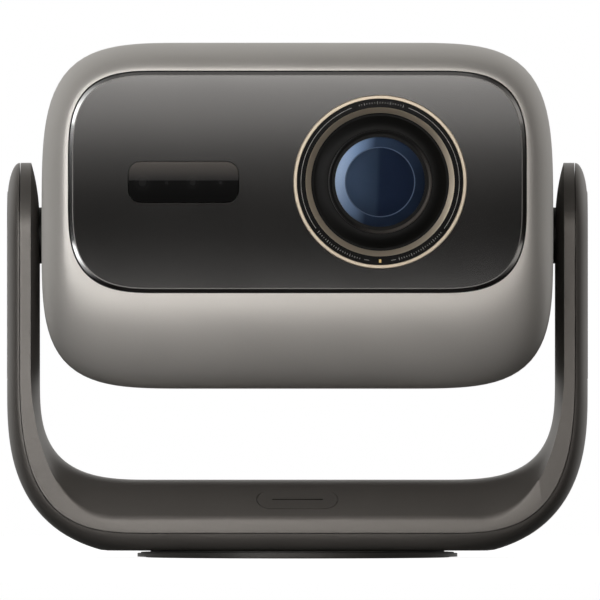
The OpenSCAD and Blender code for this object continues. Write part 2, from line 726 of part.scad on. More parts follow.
module power_inlet() {
    color("#1c1c1c") difference() {
        union() {
            translate([inlet_x, 0, inlet_z]) rod_y(8, socket_y + 2, rear_face - seam - socket_y - 2);
            box([inlet_x - 9, socket_y, deck_port_z],
                [inlet_x + 9, sheet_y - play, deck_port_z + 15]);
        }
        difference() {
            translate([inlet_x, 0, inlet_z]) rod_y(3.3, socket_y + 4, 20);
            translate([inlet_x, 0, inlet_z]) rod_y(1, socket_y + 3, 9);
        }
    }
}

// ---------------------------------------------------------------- yoke
// The top of each arm is half a turn of the arm's own cross-section about the tilt axis, on a
// straight length of the same section. The section is a list of [half width, depth] pairs, from
// the front edge to the middle and back along the wall's other face.
module arm_tops(section) {
    for (s = [0, 1]) mirror([s, 0, 0]) at_pivot() {
        rotate([90, 0, 90])
            rotate_extrude(angle = 180) polygon([for (p = section) [p[1], p[0]]]);
        translate([0, 0, -straight]) linear_extrude(straight) for (side = [-1, 1])
            polygon([for (p = section) [p[0], side * p[1]]]);
    }
}

// The outer cover's band is crowned: flat along its middle, and falling to the seam at both
// edges over a quarter ellipse. A point of the crown is [share of the fall, depth].
crown_n = 5;
crown_d = 21.4;
rising = [for (k = [crown_n:-1:0]) let (a = 90 * k / crown_n)
    [1 - cos(a), half_d - crown_d * (1 - sin(a))]];
crown = concat(rising, [[0, 0]]);
falling = reversed(rising);
plate_recess = 1;
plate_r = 24;
module yoke_outer() {
    inner_low = yoke_floor + cover_t;
    lip = (half_d - cover_t) / half_d;
    hidden = inset(yoke_outline, cover_t);
    color("#6e6b68") difference() {
        union() {
            skin(concat(
                [for (c = crown) u_ring(mix(yoke_outline, seam_outline, c[0]), -c[1], yoke_floor)],
                [for (c = falling) u_ring(mix(yoke_outline, seam_outline, c[0]), c[1], yoke_floor)],
                [for (c = crown) u_ring(mix(hidden, seam_outline, c[0]), lip * c[1], inner_low)],
                [for (c = falling) u_ring(mix(hidden, seam_outline, c[0]), -lip * c[1], inner_low)]
            ), around = false, closed = true);
            arm_tops(concat(
                [for (c = crown) [mix(yoke_x, seam_outline[0], c[0]), c[1]]],
                [for (c = reversed(crown)) [mix(hidden[0], seam_outline[0], c[0]), lip * c[1]]]
            ));
        }
        translate([0, 0, yoke_floor - 1]) cylinder(r = spindle_flange + 1, h = 6);
        for (s = [0, 1]) mirror([s, 0, 0]) arm_plate_shape(yoke_x - plate_recess, 5, seam);
    }
}
module arm_plate_shape(x, t, grow) {
    low = yoke_outline[1] + yoke_outline[4] + 6;
    side = plate_r + grow - slip;
    union() {
        at_pivot() rod_x(plate_r + grow, x, t);
        box([x, -side, low - grow], [x + t, side, pivot_z - 0.4]);
    }
}
module arm_plate_right() { color("#77746f") arm_plate_shape(yoke_x - plate_recess, plate_recess, 0); }
module arm_plate_left() {
    color("#77746f") mirror([1, 0, 0]) arm_plate_shape(yoke_x - plate_recess, plate_recess, 0);
}

// The inner cover rises from the yoke's front edge to its crest and falls again behind.
dome_power = 2.5;
function dome(v) = 1 - pow(1 - v, dome_power);
function dome_outline(v) = mix(edge_outline, crest_outline, dome(v));
module yoke_inner() {
    top = inset(seam_outline, seam);
    ahead = [for (k = [0:dome_n]) k / dome_n];
    behind = reversed([for (k = [0:dome_n - 1]) ahead[k]]);
    lip = half_d - cover_t;
    color("#45423f") difference() {
        union() {
            skin(reversed(concat(
                [u_ring(top, -half_d)],
                [for (v = ahead) u_ring(dome_outline(v), -half_d * (1 - v))],
                [for (v = behind) u_ring(dome_outline(v), half_d * (1 - v))],
                [u_ring(top, half_d), u_ring(top, lip)],
                [for (v = ahead) u_ring(inset(dome_outline(v), -cover_t), lip * (1 - v))],
                [for (v = behind) u_ring(inset(dome_outline(v), -cover_t), -lip * (1 - v))],
                [u_ring(top, -lip)]
            )), around = false, closed = true);
            arm_tops(concat(
                [[top[0], half_d]],
                [for (v = ahead) [dome_outline(v)[0], half_d * (1 - v)]],
                [for (v = reversed(ahead)) [dome_outline(v)[0] + cover_t, lip * (1 - v)]],
                [[top[0], lip]]
            ));
        }
        at_pivot() rod_x(pivot_r + play, -yoke_x, 2 * yoke_x);
        at_key() linear_extrude(20, center = true) stadium(key_l + 2 * play, key_w + 2 * play);
    }
}
strap_low = crest_z - 16.5;
strap_inner = [strap_in, strap_low + strap_t, arm_z, 66, 60, 1, 3.12];
strap_r = 24;
hub_low = yoke_floor + cover_t + play;
spindle_r = 14;
spindle_flange = 30;
post_x = 74;
module yoke_frame() {
    color("#8f9294") difference() {
        union() {
            skin([for (s = [[strap_t, -strap_r], [strap_t, strap_r], [0, strap_r], [0, -strap_r]])
                u_ring(inset(strap_inner, -s[0]), s[1])], around = false, closed = true);
            arm_tops([[strap_in, strap_r], [strap_in + strap_t, strap_r], [strap_in + strap_t, 0],
                      [strap_in, 0]]);
            translate([0, 0, hub_low]) cylinder(r = spindle_r + 8, h = strap_low + 1 - hub_low);
            for (sx = [-1, 1], sy = [-1, 1]) translate([sx * post_x, sy * 15, hub_low])
                cylinder(r = 5, h = strap_low + 1 - hub_low);
        }
        translate([0, 0, hub_low - 1]) cylinder(r = spindle_r + 2.5, h = strap_low - hub_low + 1);
        translate([0, 0, strap_low - 1]) cylinder(r = stud_r + play, h = 20);
        at_pivot() rod_x(bush_r, -yoke_x, 2 * yoke_x);
        at_key() box([-key_l / 2 - 8, -12, -12], [key_l / 2 + 8, 12, 6]);
    }
}
module tilt_bush() { at_pivot() tube_x(bush_r, journal_r + slip, strap_in, strap_t); }
module tilt_bush_right() { color("#c9b458") tilt_bush(); }
module tilt_bush_left() { color("#c9b458") mirror([1, 0, 0]) tilt_bush(); }
module pan_bush() {
    color("#c9b458") tube_z(spindle_r + 2.5, spindle_r + slip, hub_low, strap_low - hub_low);
}

// The power key lies in the slope of the inner cover, and is pressed square to it.
key_v = 0.2575;
key_y = -half_d * (1 - key_v);
key_z = mix(edge_outline[1], crest_outline[1], dome(key_v));
rise_z = crest_outline[1] - edge_outline[1];
key_tilt = atan(rise_z * dome_power * pow(1 - key_v, dome_power - 1) / half_d);
module at_key() { translate([0, key_y, key_z]) rotate([key_tilt, 0, 0]) children(); }
module stadium(l, w) {
    square([l - w, w], center = true);
    for (s = [-1, 1]) translate([s * (l - w) / 2, 0]) circle(w / 2);
}
bar_l = 27.5;
bar_w = 0.7;
module power_key() {
    color("#3a3734") at_key() difference() {
        union() {
            translate([0, 0, -5]) linear_extrude(5) stadium(key_l, key_w);
            translate([0, 0, key_skirt]) linear_extrude(1.4) stadium(key_l + 2, key_w + 1.6);
        }
        translate([0, 0, -0.8]) linear_extrude(2) stadium(bar_l + 0.1, bar_w + 0.1);
    }
}
module key_light() {
    color("#d9d6cf") at_key() translate([0, 0, -0.8]) linear_extrude(0.6) stadium(bar_l, bar_w);
}
key_skirt = -5.4;
key_board_d = -9.6;
module key_board() {
    color("#1f5a3a") at_key() union() {
        box([-key_l / 2 - 6, -7, key_board_d], [key_l / 2 + 6, 7, key_board_d + 1.2]);
        for (s = [-1, 1]) translate([s * (key_l / 2 + 4), 0, key_board_d])
            cylinder(r = 1.8, h = -cover_t - 1 - key_board_d);
        box([-3, -3, key_board_d + 1.2], [3, 3, key_skirt - key_travel - play]);
    }
}

// ---------------------------------------------------------------- base
plate_low = 0.4;
step_low = 2.3;
plate_high = yoke_floor - 0.9;
stud_r = 8;
screw_ring = 22;
groove_r = base_dia / 2 - 12.5;
groove_w = 8;
module base_plate() {
    color("#55534f") difference() {
        union() {
            translate([0, 0, plate_low]) cylinder(r = base_dia / 2, h = step_low - plate_low);
            translate([0, 0, plate_low]) cylinder(r = base_dia / 2 - 1.9, h = plate_high - plate_low);
        }
        tube_z(groove_r + groove_w + slip, groove_r - groove_w - slip, plate_low - 1, 2);
        translate([0, 0, -1]) cylinder(r = insert_r + slip, h = 6);
        for (k = [0:3]) rotate(45 + 90 * k) translate([screw_ring, 0, -1]) {
            cylinder(r = 3.2 + slip, h = plate_low + 1.2 + 1);
            cylinder(r = 1.6 + slip, h = 6);
        }
    }
}
module foot_ring() {
    color("#222222") tube_z(groove_r + groove_w, groove_r - groove_w, 0, plate_low + 1);
}
module glide_ring() {
    color("#1a1918") tube_z(base_dia / 2 - 7.1, spindle_flange + 1.2, plate_high,
                            yoke_floor - slip - plate_high);
}
insert_r = 5.5;
insert_l = 9;
module pan_spindle() {
    color("#a6a8aa") difference() {
        union() {
            translate([0, 0, plate_high]) cylinder(r = spindle_flange, h = 3);
            translate([0, 0, plate_high]) cylinder(r = spindle_r, h = strap_low - play - plate_high);
            translate([0, 0, plate_high])
                cylinder(r = stud_r, h = strap_low + strap_t + 6 - plate_high);
        }
        translate([0, 0, -1]) cylinder(r = insert_r, h = plate_low + insert_l + 1);
        for (k = [0:3]) rotate(45 + 90 * k) translate([screw_ring, 0, -1])
            cylinder(r = 1.6, h = 20);
    }
}
module tripod_insert() { color("#c9a94e") tube_z(insert_r, 3.175, plate_low, insert_l); }
module base_screws() {
    color("#8c8c8c") for (k = [0:3]) rotate(45 + 90 * k) translate([screw_ring, 0, 0])
        difference() {
            union() {
                translate([0, 0, plate_low + 0.1]) cylinder(r = 3.2, h = 1);
                translate([0, 0, plate_low + 0.2]) cylinder(r = 1.6, h = plate_high + 2.4 - plate_low);
            }
            cylinder(r = 1.2, h = plate_low + 0.7, $fn = 6);
        }
}
module pan_nut() {
    color("#b0b0b0") difference() {
        translate([0, 0, strap_low + strap_t + 0.1]) cylinder(r = 12, h = 4.5, $fn = 6);
        cylinder(r = stud_r + slip, h = 60);
    }
}

base_plate();
foot_ring();
glide_ring();
pan_spindle();
tripod_insert();
base_screws();
pan_nut();
yoke_frame();
yoke_outer();
yoke_inner();
arm_plate_right();
arm_plate_left();
pan_bush();
tilt_bush_right();
tilt_bush_left();
key_board();
power_key();
key_light();
front_shell();
top_cover();
bottom_cover();
rear_cover();
grille_right();
grille_left();
cover_screws();
front_panel();
lens_ring_outer();
lens_band();
lens_ring_inner();
sensor_window();
sensor_board();
chassis();
pivot_right();
pivot_left();
tilt_nut_right();
tilt_nut_left();
speaker_right();
speaker_left();
light_engine();
laser_module();
cooler();
fan_right();
fan_left();
rotor_right();
rotor_left();
main_board();
port_panel();
video_sockets();
usb_socket();
audio_jack();
power_inlet();
stage_base();
shift_plate_x();
lens_barrel();
lens_skirt();
front_glass();
zoom_ring();
zoom_group();
focus_ring();
focus_group();
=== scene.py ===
import bmesh
import bpy
import numpy as np
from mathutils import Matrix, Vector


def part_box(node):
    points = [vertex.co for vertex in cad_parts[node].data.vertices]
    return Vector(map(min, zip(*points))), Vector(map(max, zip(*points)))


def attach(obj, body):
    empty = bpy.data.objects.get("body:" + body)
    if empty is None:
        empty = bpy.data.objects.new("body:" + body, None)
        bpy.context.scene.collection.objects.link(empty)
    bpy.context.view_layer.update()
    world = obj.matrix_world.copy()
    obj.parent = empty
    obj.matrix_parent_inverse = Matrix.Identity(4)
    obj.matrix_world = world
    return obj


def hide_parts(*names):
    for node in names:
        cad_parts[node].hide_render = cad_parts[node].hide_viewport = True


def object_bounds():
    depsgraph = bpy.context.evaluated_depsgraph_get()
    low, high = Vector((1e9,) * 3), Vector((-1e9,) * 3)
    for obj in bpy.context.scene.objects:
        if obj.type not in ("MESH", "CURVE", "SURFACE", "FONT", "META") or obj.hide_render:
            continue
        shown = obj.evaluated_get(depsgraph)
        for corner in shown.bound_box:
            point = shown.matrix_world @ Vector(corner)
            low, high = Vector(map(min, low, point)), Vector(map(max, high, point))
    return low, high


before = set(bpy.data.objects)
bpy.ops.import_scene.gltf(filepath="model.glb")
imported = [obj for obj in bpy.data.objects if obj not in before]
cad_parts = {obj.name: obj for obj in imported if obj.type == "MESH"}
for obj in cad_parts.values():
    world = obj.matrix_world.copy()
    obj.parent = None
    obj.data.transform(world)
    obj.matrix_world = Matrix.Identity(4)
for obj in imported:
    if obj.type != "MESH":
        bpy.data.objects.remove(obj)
cad_low, cad_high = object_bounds()


# ================================================================ the studio
# The machine stands on a pale floor in a white room. A soft card in front lights it, dim at the
# height of the lens and brighter above, and stronger on the left; the room lights it faintly from
# behind.

def shown(name, data):
    """A new object in the scene."""
    made = bpy.data.objects.new(name, data)
    bpy.context.scene.collection.objects.link(made)
    return made


def flat_card(name, corners):
    """A single four-cornered face through the given corners, as a stage object."""
    mesh = bpy.data.meshes.new(name)
    mesh.from_pydata([tuple(c) for c in corners], [], [(0, 1, 2, 3)])
    card = shown(name, mesh)
    return card


def new_material(name):
    """An empty node material, and a function that adds a node with its sockets and properties."""
    material = bpy.data.materials.new(name)
    material.use_nodes = True
    material.node_tree.nodes.clear()
    return material, node_maker(material.node_tree)


def node_maker(tree):
    """Gives node(kind, inputs, **properties): a value is set on a socket, an output is linked."""
    def node(kind, inputs=None, **properties):
        """One node of the tree."""
        made = tree.nodes.new(kind)
        for key, value in properties.items():
            setattr(made, key, value)
        for key, value in (inputs or {}).items():
            if isinstance(value, bpy.types.NodeSocket):
                tree.links.new(value, made.inputs[key])
            else:
                made.inputs[key].default_value = value
        return made
    return node


def ramp(node, factor, stops, smooth="LINEAR"):
    """A colour ramp with grey or coloured stops, each (position, colour)."""
    made = node("ShaderNodeValToRGB", {"Fac": factor})
    made.color_ramp.interpolation = smooth
    elements = made.color_ramp.elements
    while len(elements) < len(stops):
        elements.new(0.5)
    for element, (position, colour) in zip(elements, stops):
        element.position = position
        grey = isinstance(colour, (int, float))
        element.color = (colour, colour, colour, 1) if grey else (*colour, 1)
    return made.outputs["Color"]


def card_light(card, low, high, upright, across, strength):
    """Light that follows one ramp up the card and another across it, multiplied together."""
    material, node = new_material(card.name)
    place = node("ShaderNodeSeparateXYZ", {0: node("ShaderNodeTexCoord").outputs["Object"]})
    shares = []
    for axis, stops in ((2, upright), (0, across)):
        share = node("ShaderNodeMapRange", {"Value": place.outputs[axis], "From Min": low[axis],
                                            "From Max": high[axis]})
        shares.append(ramp(node, share.outputs["Result"], stops, "EASE"))
    mixed = node("ShaderNodeVectorMath", {0: shares[0], 1: shares[1]}, operation="MULTIPLY")
    glow = node("ShaderNodeEmission", {"Color": mixed.outputs["Vector"], "Strength": strength})
    node("ShaderNodeOutputMaterial", {"Surface": glow.outputs["Emission"]})
    card.data.materials.append(material)
    card.visible_camera = False
    card.visible_shadow = False


card_y = -0.60
card_low = (-0.55, card_y, 0.0)
card_high = (0.55, card_y, 0.62)
front_card = flat_card("front_card", [
    (card_low[0], card_y, card_low[2]), (card_low[0], card_y, card_high[2]),
    (card_high[0], card_y, card_high[2]), (card_high[0], card_y, card_low[2])])
warm_mid = (0.65, 0.63, 0.61)
card_light(front_card, card_low, card_high,
           [(0.0, 0.03), (0.07, 0.16), (0.13, 0.85), (0.188, 1.0), (0.210, 0.035),
            (0.245, 0.022), (0.285, 0.006), (0.315, 0.008), (0.345, 0.030), (0.358, 0.050),
            (0.372, 0.085), (0.385, 0.13), (0.40, 0.17), (0.425, 0.19), (0.455, 0.95),
            (0.52, 0.90), (0.60, 0.35), (0.70, 0.08), (1.0, 0.01)],
           [(0.0, (1.0, 1.0, 1.0)), (0.30, (1.0, 0.99, 0.98)), (0.37, warm_mid),
            (0.62, warm_mid), (0.68, (0.20, 0.19, 0.18)), (1.0, (0.10, 0.095, 0.09))], 7.0)

floor_r = 1.3
floor = flat_card("floor", [(-floor_r, -floor_r, 0), (floor_r, -floor_r, 0),
                            (floor_r, floor_r, 0), (-floor_r, floor_r, 0)])
floor.visible_glossy = False
floor.visible_diffuse = False
material, node = new_material("pale_floor")
grain = node("ShaderNodeTexNoise", {"Vector": node("ShaderNodeTexCoord").outputs["Object"],
                                    "Scale": 900.0, "Detail": 4.0})
pale = ramp(node, grain.outputs["Fac"], [(0.3, 0.62), (0.7, 0.68)])
surface = node("ShaderNodeBsdfPrincipled", {
    "Base Color": pale, "Roughness": 0.8, "Emission Color": (1, 1, 1, 1),
    "Emission Strength": 0.9})
node("ShaderNodeOutputMaterial", {"Surface": surface.outputs["BSDF"]})
floor.data.materials.append(material)

# The room is white where the camera looks at it. It lights the object dimly: nearly dark below
# and in front, where the card stands, and brighter behind the object.
world = bpy.data.worlds.new("white_room")
bpy.context.scene.world = world
world.use_nodes = True
world.node_tree.nodes.clear()
node = node_maker(world.node_tree)
direction = node("ShaderNodeSeparateXYZ", {0: node("ShaderNodeTexCoord").outputs["Generated"]})
behind = node("ShaderNodeMapRange", {"Value": direction.outputs["Y"], "From Min": -0.1,
                                     "From Max": 0.9, "To Min": 0.05, "To Max": 0.75})
above = node("ShaderNodeMapRange", {"Value": direction.outputs["Z"], "From Min": -0.35,
                                    "From Max": 0.1, "To Min": 0.08, "To Max": 1.0})
dim = node("ShaderNodeMath", {0: behind.outputs["Result"], 1: above.outputs["Result"]},
           operation="MULTIPLY")
room = node("ShaderNodeBackground", {"Color": (1, 0.985, 0.96, 1), "Strength": dim.outputs[0]})
white = node("ShaderNodeBackground", {"Color": (1, 1, 1, 1), "Strength": 1.0})
seen = node("ShaderNodeMixShader", {"Fac": node("ShaderNodeLightPath").outputs["Is Camera Ray"],
                                    1: room.outputs[0], 2: white.outputs[0]})
node("ShaderNodeOutputWorld", {"Surface": seen.outputs[0]})
bpy.context.scene.view_settings.view_transform = "Standard"

# A very long lens, level with the middle of the machine, straight in front of it.
lens = 1650.0
sensor = 36.0
view_width = 0.324
sharp_y = -0.05
camera_data = bpy.data.cameras.new("camera")
camera_data.lens = lens
camera_data.sensor_width = sensor
camera_data.clip_end = 100.0
camera = shown("camera", camera_data)
camera.location = (0.0014, sharp_y - view_width * lens / sensor, cad_high.z / 2 + 0.0003)
camera.rotation_euler = (np.pi / 2, 0, 0)
bpy.context.scene.camera = camera


# ================================================================ round foot
# A painted steel disc on a rubber ring, with four screws up into the spindle's flange, a brass
# thread for a tripod in its middle and a slippery ring that the yoke glides on.

def coating(name, colour, roughness, metallic=0.0, grain=900.0, spread=0.05, depth=0.00002,
            stretch=(1, 1, 1), cloud=22.0, **sockets):
    """A finish from two noises in object space: a broad one shades the colour and the gloss, and
    a fine one, which stretch can draw out into brushing, adds grain to both and raises a bump."""
    material, node = new_material(name)
    place = node("ShaderNodeTexCoord").outputs["Object"]
    drawn = node("ShaderNodeMapping", {"Vector": place, "Scale": stretch}).outputs["Vector"]
    fine = node("ShaderNodeTexNoise", {"Vector": drawn, "Scale": grain, "Detail": 3.0})
    broad = node("ShaderNodeTexNoise", {"Vector": place, "Scale": cloud, "Detail": 2.0})
    both = node("ShaderNodeMath", {0: fine.outputs["Fac"], 1: broad.outputs["Fac"]},
                operation="ADD")
    shade = [tuple(min(1.0, c * (1 + s * spread)) for c in colour) for s in (-1, 1)]
    tint = ramp(node, node("ShaderNodeMapRange", {"Value": both.outputs[0], "From Min": 0.6,
                                                  "From Max": 1.4}).outputs["Result"],
                [(0.0, shade[0]), (1.0, shade[1])])
    gloss = node("ShaderNodeMapRange", {
        "Value": both.outputs[0], "From Min": 0.6, "From Max": 1.4,
        "To Min": roughness * 0.9, "To Max": min(1.0, roughness * 1.1)})
    bump = node("ShaderNodeBump", {"Height": fine.outputs["Fac"], "Strength": 0.6,
                                   "Distance": depth})
    surface = node("ShaderNodeBsdfPrincipled", {
        "Base Color": tint, "Roughness": gloss.outputs["Result"], "Metallic": metallic,
        "Normal": bump.outputs["Normal"], **sockets})
    node("ShaderNodeOutputMaterial", {"Surface": surface.outputs["BSDF"]})
    return material


def dress(material, *names):
    """Gives the material to CAD nodes, whose own shape stays."""
    for name in names:
        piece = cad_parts[name]
        piece.data.materials.clear()
        piece.data.materials.append(material)


foot_paint = coating("foot_paint", (0.075, 0.072, 0.068), 0.42, 0.5, grain=1600, depth=0.00003)
rubber = coating("foot_rubber", (0.012, 0.012, 0.012), 0.85, grain=1400, depth=0.00008)
glide_plastic = coating("glide_plastic", (0.008, 0.008, 0.008), 0.5)
turned_steel = coating("turned_steel", (0.42, 0.42, 0.43), 0.28, 1.0, grain=420,
                       stretch=(1, 1, 14), depth=0.00001)
turned_brass = coating("turned_brass", (0.60, 0.42, 0.16), 0.3, 1.0, grain=420,
                       stretch=(1, 1, 14), depth=0.00001)
zinc_screws = coating("zinc_screws", (0.30, 0.30, 0.29), 0.35, 1.0, grain=2500)
dress(foot_paint, "base_plate")
dress(rubber, "foot_ring")
dress(glide_plastic, "glide_ring")
dress(turned_steel, "pan_spindle")
dress(turned_brass, "tripod_insert")
dress(zinc_screws, "base_screws", "pan_nut")


# ================================================================ strap inside the yoke
# A bent and welded steel strap carries the head. It turns on the spindle in a sintered bush, and
# holds the head's journals in two more. The nuts set the friction of the tilt.

strap_steel = coating("strap_steel", (0.24, 0.25, 0.26), 0.45, 0.9, grain=500,
                      stretch=(9, 1, 1), depth=0.00003)
bush_bronze = coating("bush_bronze", (0.45, 0.30, 0.13), 0.5, 1.0, grain=2600, depth=0.00004)
dress(strap_steel, "yoke_frame")
dress(bush_bronze, "pan_bush", "tilt_bush_right", "tilt_bush_left")
dress(zinc_screws, "tilt_nut_right", "tilt_nut_left")


# ================================================================ yoke covers
# Two moulded covers in dark metallic paint close over the strap and meet in a seam along both
# edges: an outer one with a crowned band, and an inner one that rises to a rounded crest.

mm = 0.001
yoke_low, yoke_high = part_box("yoke_outer")
half_depth = yoke_high.y
pivot_z = (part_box("pivot_right")[0].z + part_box("pivot_right")[1].z) / 2
inner_x = 0.1395
crest_z = 0.042
cover_t = 2.2 * mm
yoke_edge = np.array([yoke_high.x, 0.0001, pivot_z, 0.0928, 0.0904, 0.001, 2.72])
seam_edge = np.array([yoke_high.x - 0.0067, 0.013, pivot_z, 0.0722, 0.0987, 0.001, 3.2])
shoulder_edge = np.array([inner_x + 0.0047, crest_z - 0.0219, pivot_z, 0.0427, 0.0814, 0.001, 2.0])
crest_edge = np.array([inner_x, crest_z, pivot_z, 0.0624, 0.055, 0.001, 3.12])


def corner(outline, side, up, angles):
    """Points of a rounded corner of an outline [half width, bottom, top, corner width, lower and
    upper corner height, power]: a superellipse whose radius at angle a, before the stretch to
    the corner's size, is (|cos a|^power + |sin a|^power)^(-1/power)."""
    half, bottom, top, wide, low, high, power = outline
    tall = high if up > 0 else low
    middle = top - tall if up > 0 else bottom + tall
    a = np.radians(angles)
    reach = (np.abs(np.cos(a)) ** power + np.abs(np.sin(a)) ** power) ** (-1 / power)
    return np.stack([side * (half - wide) + wide * reach * np.cos(a),
                     middle + tall * reach * np.sin(a)], 1)


def u_path(outline, steps=40):
    """The outline's two lower corners between its straight sides, from the left end at the tilt
    axis down and round to the right one, as (x, z) points."""
    left = corner(outline, -1, -1, np.linspace(180, 270, steps))
    right = corner(outline, 1, -1, np.linspace(270, 360, steps))
    ends = [[-outline[0], outline[2]]], [[outline[0], outline[2]]]
    return np.concatenate([ends[0], left, right, ends[1]])


def grid_faces(rows, columns, rows_meet, columns_meet):
    """Four-cornered faces between neighbouring points of a grid, numbered row by row. The last
    row or column joins the first where they meet."""
    i, j = np.meshgrid(np.arange(rows if rows_meet else rows - 1),
                       np.arange(columns if columns_meet else columns - 1), indexing="ij")
    i, j, i1, j1 = i.ravel(), j.ravel(), (i.ravel() + 1) % rows, (j.ravel() + 1) % columns
    return np.stack([i * columns + j, i * columns + j1, i1 * columns + j1, i1 * columns + j], 1)


def made_solid(name, patches, material, body, sharp=35.0, caps=(), cut=()):
    """One closed mesh from patches (points, faces): they are numbered on, points that coincide
    are merged, and the faces are turned outwards by the sign of the enclosed volume."""
    points, faces, start = [], [], 0
    for patch_points, patch_faces in patches:
        points.append(patch_points.reshape(-1, 3))
        faces += (patch_faces + start).tolist()
        start += len(points[-1])
    faces += [list(cap) for cap in caps]
    mesh = bpy.data.meshes.new(name)
    mesh.from_pydata(np.concatenate(points).tolist(), [], faces)
    work = bmesh.new()
    work.from_mesh(mesh)
    bmesh.ops.remove_doubles(work, verts=work.verts, dist=2e-6)
    bmesh.ops.dissolve_degenerate(work, edges=work.edges, dist=1e-6)
    bmesh.ops.recalc_face_normals(work, faces=work.faces)
    if work.calc_volume(signed=True) < 0:
        bmesh.ops.reverse_faces(work, faces=work.faces)
    work.to_mesh(mesh)
    work.free()
    piece = shown(name, mesh)
    if len(cut):
        carve(piece, cut)
    smooth(piece, sharp)
    piece.data.materials.append(material)
    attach(piece, body)
    return piece


def smooth(piece, sharp):
    """Smooth shading, with edges sharper than the given angle kept, and normals that follow the
    larger faces."""
    mesh = piece.data
    mesh.polygons.foreach_set("use_smooth", np.ones(len(mesh.polygons), bool))
    mesh.set_sharp_from_angle(angle=np.radians(sharp))
    weighted = piece.modifiers.new("weighted", "WEIGHTED_NORMAL")
    weighted.keep_sharp = True


def carve(piece, cutters):
    """Cuts closed solids (points, faces) out of the piece, and keeps the result as its mesh."""
    for points, faces in cutters:
        mesh = bpy.data.meshes.new("cutter")
        mesh.from_pydata(points.reshape(-1, 3).tolist(), [], faces)
        cutter = shown("cutter", mesh)
        cutting = piece.modifiers.new("cut", "BOOLEAN")
        cutting.operation = "DIFFERENCE"
        cutting.solver = "EXACT"
        cutting.object = cutter
        graph = bpy.context.evaluated_depsgraph_get()
        carved = bpy.data.meshes.new_from_object(piece.evaluated_get(graph))
        piece.modifiers.clear()
        piece.data = carved
        bpy.data.objects.remove(cutter)


def prism(outline, low, high, place):
    """A closed prism: a ring of (u, v) points at two heights, capped, and put in place by a
    function from (u, v, height) arrays to points."""
    n = len(outline)
    u, v = outline[:, 0], outline[:, 1]
    points = np.concatenate([place(u, v, np.full(n, low)), place(u, v, np.full(n, high))])
    k = np.arange(n)
    sides = np.stack([k, (k + 1) % n, (k + 1) % n + n, k + n], 1).tolist()
    faces = sides + [k[::-1].tolist(), (k + n).tolist()]
    if signed_volume(points, faces) < 0:
        faces = [f[::-1] for f in faces]
    return points, faces


def signed_volume(points, faces):
    """A sixth of the sum of triple products over each face, split into a fan of triangles."""
    total = 0.0
    for face in faces:
        p = points[face]
        total += np.einsum("ij,ij->", np.cross(p[1:-1], p[2:]), np.tile(p[0], (len(p) - 2, 1)))
    return total


def arc(radius, start, end, steps, x=0.0, y=0.0):
    """Points on a circle from one angle to another, in degrees."""
    a = np.radians(np.linspace(start, end, steps))
    return np.stack([x + radius * np.cos(a), y + radius * np.sin(a)], 1)


def stadium(length, width, steps=20):
    """A ring of points round a slot with half-round ends."""
    r = width / 2
    x = length / 2 - r
    return np.concatenate([arc(r, -90, 90, steps, x), arc(r, 90, 270, steps, -x)])


def u_shell(outlines, depths, low, wall_outlines, wall_depths, wall_low):
    """The U's surface is a section carried along the U: for each point of the section its own
    outline and depth give one line from arm to arm, held above a floor height. The section runs
    over the outside and back along the wall's other face, and closes on itself."""
    lines = []
    for group, group_depths, floor_z in ((outlines, depths, low),
                                         (wall_outlines, wall_depths, wall_low)):
        for outline, depth in zip(group, group_depths):
            path = u_path(outline)
            lines.append(np.stack([path[:, 0], np.full(len(path), depth),
                                   np.maximum(path[:, 1], floor_z)], 1))
    grid = np.array(lines)
    return grid, grid_faces(*grid.shape[:2], True, False)


def arm_top(half_widths, depths, side, steps=33):
    """Half a turn of the arm's half section about the tilt axis: a point of the section at half
    width w and depth d becomes (w, d cos t, axis height + d sin t)."""
    turn = np.linspace(0, np.pi, steps)
    w, d = half_widths[:, None], depths[:, None]
    grid = np.stack(np.broadcast_arrays(side * w, d * np.cos(turn), pivot_z + d * np.sin(turn)), 2)
    return grid, grid_faces(*grid.shape[:2], True, False)


def between(a, b, shares):
    """Outlines part of the way from one outline to another, one for each share."""
    return a + (b - a) * np.asarray(shares)[:, None]


def grown(outlines, amount):
    """Outlines moved outwards by a distance on every side, corners included."""
    return outlines + np.array([1, -1, 1, 1, 1, 1, 0]) * amount


def key_frame(u, v, height):
    """Points in the power key's own slope: u to the right, v up the slope, height out of it."""
    c, s = np.cos(key_tilt), np.sin(key_tilt)
    return np.stack([u, key_y + v * c - height * s, key_z + v * s + height * c], 1)


dome_power = 2.5
key_share = 0.2575
key_y = -half_depth * (1 - key_share)
key_z = (shoulder_edge[1] + (crest_edge[1] - shoulder_edge[1])
         * (1 - (1 - key_share) ** dome_power))
key_tilt = np.arctan((crest_edge[1] - shoulder_edge[1]) * dome_power
                     * (1 - key_share) ** (dome_power - 1) / half_depth)
key_l, key_w = 43.7 * mm, 14.0 * mm
slit = 0.3 * mm
crown_depth = 21.4 * mm
plate_r = 24 * mm
plate_recess = 1.0 * mm
plate_low = yoke_edge[1] + yoke_edge[4] + 0.006
edge_r = 0.35 * mm


def plate_outline(grow):
    """The trim plate's outline in (depth, height): round at the top, straight down to its end."""
    r = plate_r + grow
    foot = plate_low - grow
    return np.concatenate([[[r, foot]], arc(r, 0, 180, 49, 0, pivot_z), [[-r, foot]]])


def along_x(y, z, x):
    """Points (x, y, z) from depth and height arrays and one x."""
    return np.stack(np.broadcast_arrays(x, y, z), 1)


def grown_arms(outlines, amount):
    """The same for outlines whose sides run up to the tilt axis: their tops stay there."""
    return outlines + np.array([1, -1, 0, 1, 1, 1, 0]) * amount


